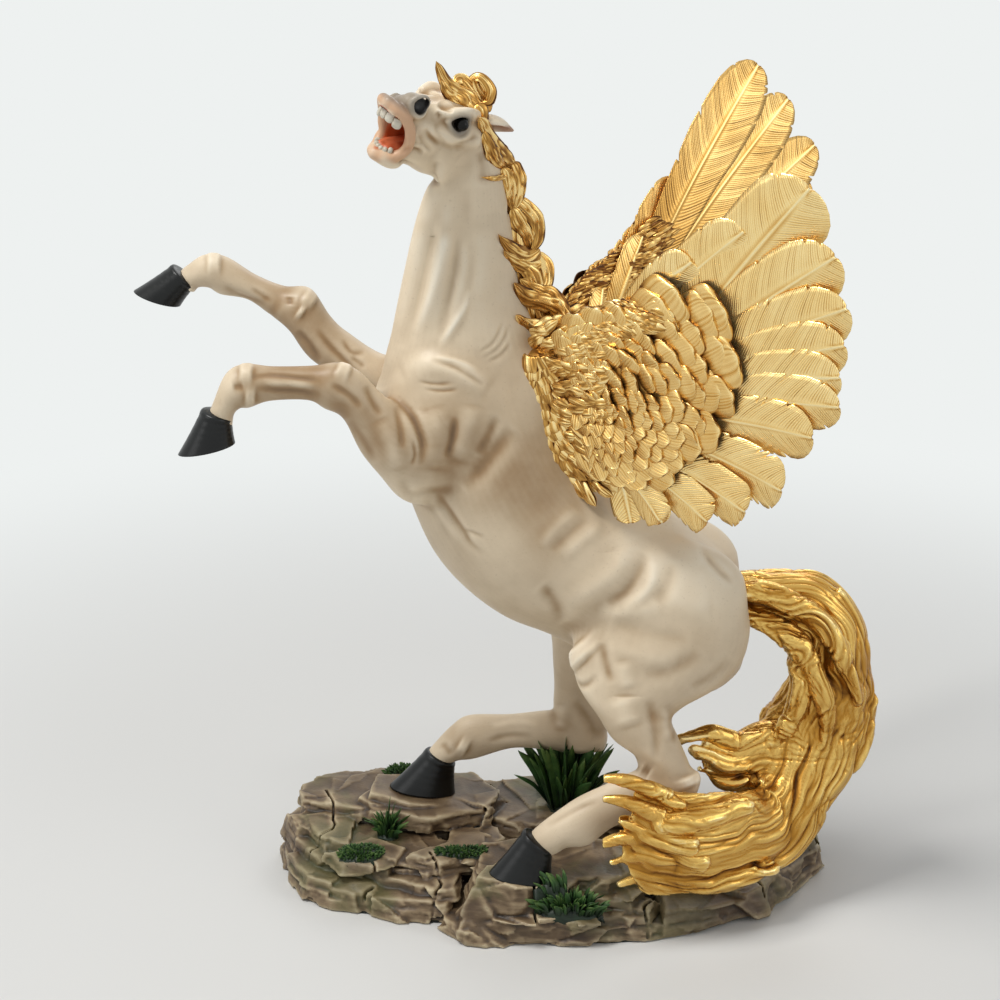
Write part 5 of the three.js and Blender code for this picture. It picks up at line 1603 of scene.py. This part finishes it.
def seat(places):
    """The first of some places that touches the neck or the crest, or else the closest one."""
    gaps = np.array([(np.linalg.norm(mane_ground - place, axis=1) - mane_depth).min() for place in places])
    touching = gaps < MANE_TOUCH
    return places[np.argmax(touching) if touching.any() else np.argmin(gaps)]


def seated(lines):
    """A path through the seat on each line of places, without kinks."""
    path = np.array([seat(line) for line in lines])
    even = path.copy()
    even[1:-1] = 0.25 * path[:-2] + 0.5 * path[1:-1] + 0.25 * path[2:]
    return np.stack([path[:, 0], even[:, 1], path[:, 2]], 1)


mane = bundle(CREST, count=6, half_share=0.8, thick_share=0.6, turns=0.5, strands=6)
for rows in MANE_LOCKS:
    half = np.array([row[2] for row in rows], float)
    near = seated([[from_picture(x, y, sideways) for sideways in MANE_NEAR] for x, y, _ in rows])
    far = seated([[np.array([place[0] - MANE_FAR_SHIFT, sideways, place[2]]) for sideways in MANE_FAR]
                  for place in near])
    for way, path in ((-1, near), (1, far)):
        mane.append(lock(path, [(0.25, way, 0.1)] * len(rows), half, half * MANE_THICK,
                         strands=9, taper=(0.12, 0.3)))
make_parts("mane_locks", mane, GOLD, ("mane",))

# Locks of the forelock, as rows of a pixel, a place along Y and a half width
FORELOCK = [
    [(486, 116, -16, 3.0), (470, 100, -19, 4.5), (456, 92, -23, 4.0), (446, 82, -27, 3.0),
     (440, 70, -30, 2.0), (436, 61, -31, 0.8)],
    [(482, 120, -19, 3.0), (468, 106, -21, 4.0), (455, 99, -25, 3.5), (447, 92, -28, 2.5),
     (441, 80, -30, 1.0)],
    [(486, 110, -13, 3.0), (474, 95, -15, 4.5), (465, 84, -17, 4.0), (459, 80, -19, 3.0),
     (454, 86, -22, 1.0)],
    [(487, 118, -14, 3.0), (480, 104, -14, 4.5), (474, 90, -15, 4.0), (474, 79, -16, 2.4),
     (482, 79, -17, 2.6), (490, 90, -17, 3.0), (488, 101, -17, 3.0), (481, 103, -18, 1.0)],
    [(476, 104, -20, 3.0), (480, 112, -20, 4.0), (482, 120, -19, 3.0), (481, 128, -18, 1.0)],
    [(490, 112, -10, 3.0), (480, 98, -8, 4.5), (470, 90, -12, 4.0), (462, 88, -16, 2.0)],
]
# Hair on top of the head that the forelock grows from, in the head's frame
FORELOCK_ROOT = ((-13, 0, 3, 5), (-5, 0, 6, 5.5), (3, 0, 6, 3))
forelock = []
for rows in FORELOCK:
    path = [from_picture(x, y, sideways) for x, y, sideways, _ in rows]
    half = np.array([row[3] for row in rows], float)
    forelock.append(lock(path, [(-0.1, -1, 0.6)] * len(rows), half, half * 0.45, strands=8,
                         taper=(0.2, 0.16)))
rows = [(*from_head(row[:3]), row[3]) for row in FORELOCK_ROOT]
forelock += bundle(rows, count=6, half_share=0.8, thick_share=0.5, turns=0.15, strands=5)
make_parts("forelock_locks", forelock, GOLD, ("forelock",))

# Hooves as upper point, lower point and half width, at the coronet and at the sole
HOOF_RINGS = {
    "hoof_hind_left": [[[-15, -42, 51], [-2, -41, 41], 7.5], [[-31, -43, 30.5], [-2, -42, 27], 10]],
    "hoof_hind_right": [[[-62, 33, 57], [-48, 33, 50], 7.5], [[-80, 33, 38], [-48, 33, 34.5], 10]],
    "hoof_fore_left": [[[-155, -37, 251], [-142, -37, 247], 7.5], [[-166, -37, 231], [-141, -37, 236], 9.5]],
    "hoof_fore_right": [[[-175, 34, 298], [-165, 34, 288], 7.5], [[-193, 35, 286], [-172, 35, 279], 9.5]],
}
for name, rings in HOOF_RINGS.items():
    table = np.array([[*upper, *lower, half] for upper, lower, half in rings], float)
    t = np.linspace(0, 1, 40)[:, None]
    table = table[0] * (1 - t) + table[1] * t
    upper, lower, half = table[:, :3], table[:, 3:6], table[:, 6:]
    swell = (1 + 0.035 * np.exp(-((t - 0.03) / 0.06) ** 2) - 0.03 * np.sin(t * math.pi)
             + 0.006 * np.sin(t * 34) * (1 - t))
    tall = (upper - lower) / 2 * swell
    wide = unit(SIDEWAYS - unit(tall) * unit(tall)[:, 1:2]) * half * swell
    points, quads = ring_skin((upper + lower) / 2, tall, wide, sides=56, ends=(1.5, 0.4))
    make_piece(name + "_horn", points, quads, HOOF, (name,))


# Eyes: glossy balls with a raised front
EYE_RINGS = 32
EYE_SIDES = 40
turn = np.linspace(0.06, math.pi - 0.06, EYE_RINGS)
rise, ring = np.cos(turn), np.sin(turn)
rise = rise * (1 + 0.1 * ease(rise, 0.6, 1.0))
spin = np.arange(EYE_SIDES) * 2 * math.pi / EYE_SIDES
for name, side in (("left", 1), ("right", -1)):
    points = np.stack([np.outer(ring, np.cos(spin)), side * np.outer(rise, np.ones(EYE_SIDES)),
                       np.outer(ring, np.sin(spin))], -1).reshape(-1, 3)
    points = from_head(points * EYE_RADIUS + np.array(EYE_PLACE) * [1, side, 1])
    make_piece(f"eye_{name}_ball", points, tube_quads(EYE_RINGS, EYE_SIDES), EYE,
               ("eye_" + name,))

# Tongue: forward, left, up, half height and half width in the head's frame, with a groove along the middle
TONGUE_ROWS = [(8, 0, -18, 3, 4.2), (13, 0, -20, 2.8, 4.8), (18, 0, -21.6, 2.4, 5), (22, 0, -22.6, 1.5, 3.8)]
table = smooth_rows(TONGUE_ROWS, 25)
points, quads = ring_skin(table[:, :3], table[:, 3:4] * UP, table[:, 4:5] * SIDEWAYS, sides=40, ends=(1, 2))
points[:, 2] -= 0.9 * np.exp(-(points[:, 1] / 1.4) ** 2) * ease(points[:, 0], -2, 6)
make_piece("tongue_muscle", from_head(points), quads, TONGUE, ("tongue",))


TOOTH_RINGS = 12
TOOTH_SIDES = 24
TOOTH_THICK = 1.2


def tooth(foot, tip, half, way):
    """One front tooth: wide, slightly squared and rounded at its tip."""
    foot, tip = np.array(foot, float), np.array(tip, float)
    t = np.linspace(0, 1, TOOTH_RINGS)[:, None]
    middle = foot * (1 - t) + tip * t
    size = np.sqrt(np.clip(1 - (np.clip(t - 0.75, 0, 1) / 0.27) ** 2, 0.03, 1))
    size = size * (0.85 + 0.15 * np.sin(t * 3))
    down = unit(tip - foot)
    way = unit(np.array(way, float) - down * (np.array(way, float) @ down))
    beside = np.cross(down, way)
    turn = np.arange(TOOTH_SIDES) * 2 * math.pi / TOOTH_SIDES
    c, s = np.cos(turn), np.sin(turn)
    c, s = np.sign(c) * np.abs(c) ** 0.7, np.sign(s) * np.abs(s) ** 0.7
    points = (middle[:, None] + beside * (c[None, :] * size * half)[..., None]
              + way * (s[None, :] * size * TOOTH_THICK)[..., None])
    return points.reshape(-1, 3), tube_quads(TOOTH_RINGS, TOOTH_SIDES)


def tooth_row(places, length, half, out_tilt):
    """A row of teeth, from the places of those on its left half."""
    parts = []
    for f, l, u in places:
        for across in (l, -l):
            foot = (f - out_tilt * 0.5, across, u)
            tip = (f + out_tilt, across * 1.04, u + length)
            parts.append(tooth(foot, tip, half, (1, across * 0.16, 0)))
    return together(parts)


# Rows of teeth: places as forward, left and up, then length, half width and tilt forward
TEETH_ROWS = {
    "upper_teeth": (((29.8, 1.9, -8.2), (28.3, 5.4, -8.8)), -4.3, 2.05, -0.4),
    "lower_teeth": (((23.8, 0.9, -25.6), (23.3, 2.6, -25.2), (22, 4.2, -24.2)), 2.6, 0.98, 0.4),
}
for name, row in TEETH_ROWS.items():
    points, quads = tooth_row(*row)
    make_piece(name + "_row", from_head(points), quads, TEETH, (name,))

# Rock: slabs as outline, bottom, top, slope along x and slope along y
ROCK_STEP = 0.8
ROCK_BAND = 3.2
ROCK_FOOT = 0.4
ROCK_CORNER = 0.8
ROCK_BLEND = 0.6
GROUND = [
    [-131, 4], [-121, -15], [-106, -25], [-90, -29], [-73, -37], [-56, -38], [-41, -56], [-17, -59],
    [1, -58], [24, -59], [43, -56], [66, -48], [99, -28], [118, -6], [133, 22], [131, 40], [108, 56],
    [80, 62], [40, 68], [0, 73], [-40, 76], [-82, 72], [-108, 67], [-129, 54], [-133, 30],
]
ROCK_SLABS = [
    (GROUND, ROCK_FOOT, 8.5, 0, 0),
    ([[-129, 8], [-118, -15], [-96, -26], [-72, -35], [-52, -37], [-44, -22], [-66, -4], [-108, 16]],
     4, 13.5, 0.02, 0.08),
    ([[-125, 12], [-110, -10], [-90, -18], [-64, -30], [-47, -32], [-42, -12], [-76, 6], [-112, 26]],
     10, 19, 0.03, 0.1),
    ([[-124, 24], [-108, -2], [-82, -10], [-60, -22], [-44, -8], [-52, 14], [-98, 36]],
     15, 24, -0.03, 0.1),
    ([[-44, -54], [-22, -59], [4, -57], [24, -59], [45, -55], [54, -36], [20, -22], [-26, -24], [-45, -40]],
     2, 14.5, 0.02, 0.1),
    ([[-40, -46], [-16, -55], [10, -50], [36, -52], [46, -36], [30, -18], [-16, -14], [-42, -24]],
     11, 21.5, -0.04, 0.08),
    ([[-38, -36], [-10, -45], [24, -42], [50, -30], [46, -4], [6, 6], [-36, -4]], 18, 27, 0.01, 0.04),
    ([[47, -55], [68, -47], [97, -29], [112, -8], [96, 10], [60, 6], [42, -22]], 2, 16, -0.05, 0.09),
    ([[82, -36], [108, -16], [132, 18], [130, 42], [106, 54], [84, 30], [76, -4]], 3, 15, -0.07, 0.02),
    ([[80, -30], [104, -12], [126, 18], [123, 40], [100, 46], [74, 24]], 13, 21, -0.06, -0.02),
    ([[54, -34], [82, -24], [106, 2], [106, 30], [72, 42], [44, 16]], 17, 25.5, -0.03, 0.03),
    ([[-131, 36], [-124, 14], [-96, 8], [-50, 12], [-38, 26], [-46, 38], [-92, 40], [-126, 48]],
     8, 26, 0.0, 0.08),
    ([[-130, 50], [-124, 30], [-94, 18], [-58, 22], [-44, 40], [-56, 66], [-104, 66]],
     20, 32, 0.03, 0.04),
    ([[-98, 26], [-86, 12], [-60, 8], [-32, 16], [-24, 36], [-40, 60], [-80, 62]], 24, 34, -0.01, 0.01),
    ([[-36, 20], [-6, 10], [30, 18], [56, 36], [40, 58], [-8, 66], [-44, 62]], 14, 27.5, 0.0, 0.04),
    ([[-6, 40], [14, 32], [38, 40], [42, 56], [16, 66], [-10, 58]], 22, 31, -0.03, 0.03),
    ([[-110, -8], [-100, -18], [-78, -20], [-70, -4], [-88, 4]], 16, 23.5, 0.04, 0.12),
    ([[-70, -14], [-54, -24], [-38, -20], [-30, -6], [-48, 2]], 18, 25.5, -0.05, 0.06),
    ([[-54, -12], [-34, -14], [-22, 2], [-28, 20], [-52, 14]], 12, 26.5, 0.02, 0.05),
    ([[-42, -50], [-20, -57], [8, -54], [16, -36], [-2, -26], [-36, -30]], 12, 28.4, -0.115, 0.01),
    ([[-92, 22], [-70, 14], [-42, 18], [-38, 42], [-60, 50], [-88, 46]], 26, 35.8, -0.11, 0.0),
]
# Places where the ground keeps its level: x, y and reach
ROCK_REST = [(-16, -42, 24), (-64, 33, 24), (8, 30, 12), (-80, 6, 9), (6, -52, 18), (-92, -11, 12),
             (-44, -14, 14)]
# Cracks as width, depth and line in plan
ROCK_CRACKS = [
    (1.3, 4, (-8, -60), (-10, -50), (-4, -42)), (1.0, 3, (44, -58), (40, -46), (46, -36)),
    (1.1, 4, (-92, -30), (-86, -18), (-92, -8)), (0.9, 3, (-60, -40), (-54, -26), (-60, -12)),
    (1.1, 3.5, (98, -30), (90, -14), (98, 6)), (1.0, 3, (-118, 0), (-106, 16), (-112, 40)),
    (0.9, 3, (-30, 74), (-36, 52), (-22, 36)), (0.9, 3, (60, 64), (52, 44), (66, 24)),
]


def outline_gap(x, y, outline):
    """Signed distance in plan to an outline: below 0 inside."""
    outline = np.array(outline, float)
    spots = np.stack([x.ravel(), y.ravel()], 1)
    best = np.full(len(spots), 1e9)
    inside = np.zeros(len(spots), bool)
    for a, b in zip(outline, np.roll(outline, -1, 0)):
        way = b - a
        t = np.clip(((spots - a) @ way) / (way @ way), 0, 1)
        best = np.minimum(best, np.linalg.norm(spots - a - t[:, None] * way, axis=1))
        crosses = (a[1] > spots[:, 1]) != (b[1] > spots[:, 1])
        if a[1] != b[1]:
            level = a[0] + (spots[:, 1] - a[1]) / (b[1] - a[1]) * way[0]
            inside ^= crosses & (spots[:, 0] < level)
    return np.where(inside, -best, best).reshape(x.shape)


def sculpt_rock():
    """Tilted, broken slabs with worn edges; the strata show only in places."""
    clay = Clay((-137, -63, -1.6), (137, 80, 40), ROCK_STEP, ROCK_BAND)
    window = tuple(slice(0, n) for n in clay.field.shape)
    x, y, z = clay.grid(window)
    flat_x, flat_y = np.broadcast_arrays(x[:, :, 0], y[:, :, 0])
    layer = (z + 0.05 * x + 2.6 * wander(x, y, 0, 30, 4)) / 4.6
    level = np.floor(layer)
    part = layer - level
    shown = ease(wander(x, y, z * 0.5, 34, 15), -0.25, 0.25)
    ledge = (0.9 * wander(x, y, level * 9.7, 16, 5) + 0.7 * np.exp(-((part - 0.05) / 0.09) ** 2)) * shown
    ledge = ledge + 2.6 * broken(x, y, 2.6 * z, 38, 31) + 0.35 * broken(x, y, 2 * z, 12, 32)
    slants = (2.0 * broken(flat_x, flat_y, 0, 42, 33) + 0.35 * broken(flat_x, flat_y, 0, 15, 34))[:, :, None]
    for at_x, at_y, reach in ROCK_REST:
        slants = slants * ease(np.hypot(flat_x - at_x, flat_y - at_y), 0.6 * reach, 1.4 * reach)[:, :, None]
    rough = 0.25 * wander(x, y, z * 1.8, 5, 6) + 0.12 * wander(x, y, z * 1.8, 1.9, 8)
    chips = 2.0 * ease(wander(x, y, z, 16, 9), 0.3, 0.6)
    for k, (outline, bottom, top, slope_x, slope_y) in enumerate(ROCK_SLABS):
        centre = np.mean(outline, axis=0)
        edge = outline_gap(flat_x, flat_y, outline)[:, :, None] + 1.4
        edge = edge + 1.6 * wander(x, y, 7 * k, 21, 3) + ledge + rough + chips
        edge = edge + 0.25 * (z - (bottom + top) / 2)
        roof = top + slope_x * (x - centre[0]) + slope_y * (y - centre[1])
        roof = roof + slants + 0.5 * wander(x, y, k, 7, 16) + 0.3 * rough - z
        rise = np.maximum(-roof, bottom - z)
        edge, rise = edge + ROCK_CORNER, rise + ROCK_CORNER
        values = np.sqrt(np.maximum(edge, 0) ** 2 + np.maximum(rise, 0) ** 2) - ROCK_CORNER
        values = values + np.minimum(np.maximum(edge, rise), 0)
        clay.join(window, np.clip(values, -ROCK_BAND, ROCK_BAND).astype(np.float32), ROCK_BLEND)
    for width, depth, *line in ROCK_CRACKS:
        line = smooth_rows(line, 9)
        spots = np.stack([flat_x + 2 * wander(flat_x, flat_y, 0, 8, 12),
                          flat_y + 2 * wander(flat_x, flat_y, 0, 8, 13)], -1).reshape(-1, 2)
        gap = line_gap(spots, line)[0].reshape(flat_x.shape)
        surface = np.where(clay.field < 0, z, -99).max(2)
        cut = np.maximum(gap[:, :, None] - width * 0.5, (surface[:, :, None] - depth) - z)
        clay.remove(window, np.clip(cut, -ROCK_BAND, ROCK_BAND).astype(np.float32), ROCK_BLEND)
    clay.field = np.maximum(clay.field, ROCK_FOOT - z)
    return clay.skin()


rock_points, rock_quads = sculpt_rock()
rock_normals = corner_normals(rock_points, rock_quads)
# Gaps darker as painted shade and edges paler as painted highlight
rock_stand = 0.5 + 0.5 * bulge(rock_points, rock_quads, rock_normals, 12)
make_piece("rock_slabs", rock_points, rock_quads, ROCK, ("rock_base",), {"stand": rock_stand})


# Grass and moss

def blade(foot, tip, half, bow, spin):
    """A flat pointed leaf that bends over towards its tip, with a crease along its middle."""
    way = tip - foot
    level = np.array([way[0], way[1], 0.0])
    middle = foot + way * 0.55 - level * bow + UP * np.linalg.norm(way) * 0.06
    path = smooth_rows([foot, middle, tip], 9)
    t = np.linspace(0, 1, 9)
    run = unit(np.gradient(path, axis=0))
    beside = unit(np.cross(run, np.array([math.cos(spin), math.sin(spin), 0.25])))
    top = np.cross(run, beside)
    size = (half * (0.65 + 0.5 * np.sin(t * 2.2)) * (1 - t ** 2.2) + 0.06)[:, None, None]
    c = np.array([-1, -0.5, 0, 0.5, 1, 0.5, 0, -0.5])[None, :, None]
    h = np.array([0, 0.1, -0.12, 0.1, 0, 0.32, 0.16, 0.32])[None, :, None]
    points = path[:, None] + beside[:, None] * c * size + top[:, None] * h * size
    note = np.repeat(0.25 + 0.5 * t, 8) + chance.uniform(-0.12, 0.12)
    return points.reshape(-1, 3), tube_quads(9, 8), note


def mound(foot, radii):
    """The rough cushion that a tuft grows from."""
    rings = []
    turn = np.arange(36) * math.pi / 18
    for lift in np.linspace(-0.5 * math.pi + 0.1, 0.5 * math.pi - 0.06, 18):
        bump = 1 + 0.1 * np.sin(turn * 5 + lift * 7) * np.cos(lift * 5) + chance.uniform(-0.04, 0.04, 36)
        rings.append(np.stack([np.cos(turn) * math.cos(lift) * bump, np.sin(turn) * math.cos(lift) * bump,
                               np.full(36, math.sin(lift)) * bump], 1))
    points = np.concatenate(rings) * np.array(radii) + np.array(foot)
    return points, tube_quads(18, 36), np.full(len(points), 0.18)


# Height of the rock on a grid of millimetres in plan
GROUND_CORNER = (-145, -75)
TUFT_SINK = 1
ground_map = np.zeros((290, 165))
cells = np.round(rock_points[:, :2] - GROUND_CORNER).astype(int)
np.maximum.at(ground_map, (cells[:, 0], cells[:, 1]), rock_points[:, 2])


def ground_height(x, y):
    """Height of the rock under a place, evened out over a few millimetres."""
    i, j = int(round(x - GROUND_CORNER[0])), int(round(y - GROUND_CORNER[1]))
    return np.median(ground_map[i - 2:i + 3, j - 2:j + 3])


def tuft(foot, radii, count, reach, height, half, flat, bow):
    """A mound with blades; those further out lean more and are lower by the share flat."""
    foot = np.array([*foot, 0.0])
    points, quads, note = mound(foot, radii)
    points[:, 2] += [ground_height(x, y) - TUFT_SINK for x, y in points[:, :2]]
    parts = [(points, quads, note)]
    for _ in range(count):
        turn = chance.uniform(0, 2 * math.pi)
        out = math.sqrt(chance.uniform(0, 1))
        start = foot + [math.cos(turn) * out * radii[0] * 0.9, math.sin(turn) * out * radii[1] * 0.9,
                        radii[2] * (0.75 * math.sqrt(1 - 0.8 * out ** 2))]
        start[2] += ground_height(start[0], start[1]) - TUFT_SINK
        lean = np.array([math.cos(turn), 0.6 * math.sin(turn), 0]) * out * reach * chance.uniform(0.5, 1.1)
        rise = height * chance.uniform(0.45, 1.0) * (1 - flat * out)
        parts.append(blade(start, start + lean + UP * rise, half * chance.uniform(0.7, 1.2), bow,
                           chance.uniform(0, 6.3)))
    return parts


# Tufts as place in plan, radii of the mound, number of blades, reach, height, half width, flatness and bow
TUFTS = {
    "grass_hock": ((6, 30), (9, 6, 7), 95, 21, 46, 3.0, 0.25, 0.1),
    "grass_left": ((-80, 6), (5.5, 4.5, 3.5), 60, 9, 15, 1.2, 0.3, 0.3),
    "grass_front": ((6, -53), (16, 4.5, 3.5), 100, 8, 10, 1.5, 0.2, 0.3),
    "grass_back": ((58, 50), (8.5, 6, 4), 70, 9, 16, 1.2, 0.3, 0.3),
    "moss_left": ((-92, -11), (11.5, 7.5, 3.2), 420, 2, 2.6, 0.7, 0.1, 0.25),
    "moss_middle": ((-44, -14), (13.5, 4.5, 2.6), 300, 2, 2.6, 0.7, 0.1, 0.25),
    "moss_back": ((-72, 54), (12.5, 7, 3), 360, 2, 2.6, 0.7, 0.1, 0.25),
}
for name, settings in TUFTS.items():
    make_parts(name + "_blades", tuft(*settings), GRASS, (name,))


# Camera, light and floor

camera_data = bpy.data.cameras.new("camera")
camera_data.lens = LENS
camera_data.sensor_width = SENSOR
camera_data.clip_end = 20
camera = bpy.data.objects.new("camera", camera_data)
camera.location = Vector(camera_place * MM)
camera.rotation_euler = Vector(view_way).to_track_quat("-Z", "Y").to_euler()
bpy.context.scene.collection.objects.link(camera)
bpy.context.scene.camera = camera


LIGHT_AIM = Vector((-0.02, 0, 0.2))


def area_light(name, place, size, power, tint=(1, 1, 1)):
    """A square lamp that looks at the middle of the statue; place and size are metres."""
    data = bpy.data.lights.new(name, "AREA")
    data.size = size
    data.energy = power
    data.color = tint
    lamp = bpy.data.objects.new(name, data)
    lamp.location = place
    aim = LIGHT_AIM - Vector(place)
    lamp.rotation_euler = aim.to_track_quat("-Z", "Y").to_euler()
    bpy.context.scene.collection.objects.link(lamp)


area_light("key_light", (-0.65, -0.35, 1.6), size=0.55, power=17, tint=(1, 0.99, 0.97))
area_light("front_light", (-1.6, -0.9, 0.8), size=0.9, power=3.5)
area_light("back_light", (0.5, 1.5, 1.3), size=0.9, power=6)
area_light("right_light", (1.5, -0.8, 0.9), size=0.9, power=4)
bpy.context.scene.view_settings.view_transform = "Standard"


def background(tree):
    """1 where the camera, a gloss or glass looks at the surroundings, 0 where they only give light."""
    path = tree.nodes.new("ShaderNodeLightPath")
    share = path.outputs["Is Camera Ray"]
    for name in ("Is Glossy Ray", "Is Transmission Ray"):
        node = tree.nodes.new("ShaderNodeMath")
        node.operation = "MAXIMUM"
        tree.links.new(share, node.inputs[0])
        tree.links.new(path.outputs[name], node.inputs[1])
        share = node.outputs[0]
    return share


BACKGROUND = shade(238, 241, 240)
FLOOR_TONE = shade(217, 217, 215)
# Distances from the middle, in metres, over which the floor's tone and then its light go plain
FLOOR_TONE_FADE = (0.25, 0.75)
FLOOR_LIGHT_FADE = (0.3, 0.75)


def make_world():
    """Pale surroundings: soft light for the object and a plain background for the camera."""
    world = bpy.data.worlds.new("studio")
    world.use_nodes = True
    tree = world.node_tree
    glow = tree.nodes["Background"]
    glow.inputs["Color"].default_value = (0.96, 0.98, 1, 1)
    glow.inputs["Strength"].default_value = 0.38
    seen = tree.nodes.new("ShaderNodeBackground")
    seen.inputs["Color"].default_value = BACKGROUND
    mixed = tree.nodes.new("ShaderNodeMixShader")
    tree.links.new(background(tree), mixed.inputs[0])
    tree.links.new(glow.outputs[0], mixed.inputs[1])
    tree.links.new(seen.outputs[0], mixed.inputs[2])
    tree.links.new(mixed.outputs[0], tree.nodes["World Output"].inputs[0])
    bpy.context.scene.world = world


def make_floor():
    """A wide pale sheet: lit near the statue, where it takes the shadow, and plain further out."""
    mesh = bpy.data.meshes.new("floor")
    reach = [-14, -3, -1.2, -0.6, -0.3, 0, 0.3, 0.6, 1.2, 3, 14]
    points = [(x, y, 0) for y in reach for x in reach]
    width = len(reach)
    faces = [(r * width + c, r * width + c + 1, (r + 1) * width + c + 1, (r + 1) * width + c)
             for r in range(width - 1) for c in range(width - 1)]
    mesh.from_pydata(points, [], faces)
    paint = Finish("floor_paint", roughness=0.9, Specular_IOR_Level=0.1)
    tree = paint.material.node_tree
    length = tree.nodes.new("ShaderNodeVectorMath")
    length.operation = "LENGTH"
    tree.links.new(paint.place, length.inputs[0])
    tone = paint.mix(paint.range(length.outputs["Value"], *FLOOR_TONE_FADE), FLOOR_TONE, BACKGROUND)
    paint.colour(tone)
    glow = tree.nodes.new("ShaderNodeEmission")
    tree.links.new(tone, glow.inputs["Color"])
    far = paint.range(length.outputs["Value"], *FLOOR_LIGHT_FADE)
    mixed = tree.nodes.new("ShaderNodeMixShader")
    tree.links.new(paint.math("MULTIPLY", far, background(tree)), mixed.inputs[0])
    tree.links.new(paint.shader.outputs[0], mixed.inputs[1])
    tree.links.new(glow.outputs[0], mixed.inputs[2])
    tree.links.new(mixed.outputs[0], tree.nodes["Material Output"].inputs[0])
    mesh.materials.append(paint.material)
    sheet = bpy.data.objects.new("floor", mesh)
    bpy.context.scene.collection.objects.link(sheet)
    sheet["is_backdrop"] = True


make_world()
make_floor()

# The pins and the felt show their own solids
for name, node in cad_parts.items():
    if name.startswith("pin_") or name == "felt_sheet":
        node.data.materials.clear()
        node.data.materials.append(FELT if name == "felt_sheet" else STEEL)

low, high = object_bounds()
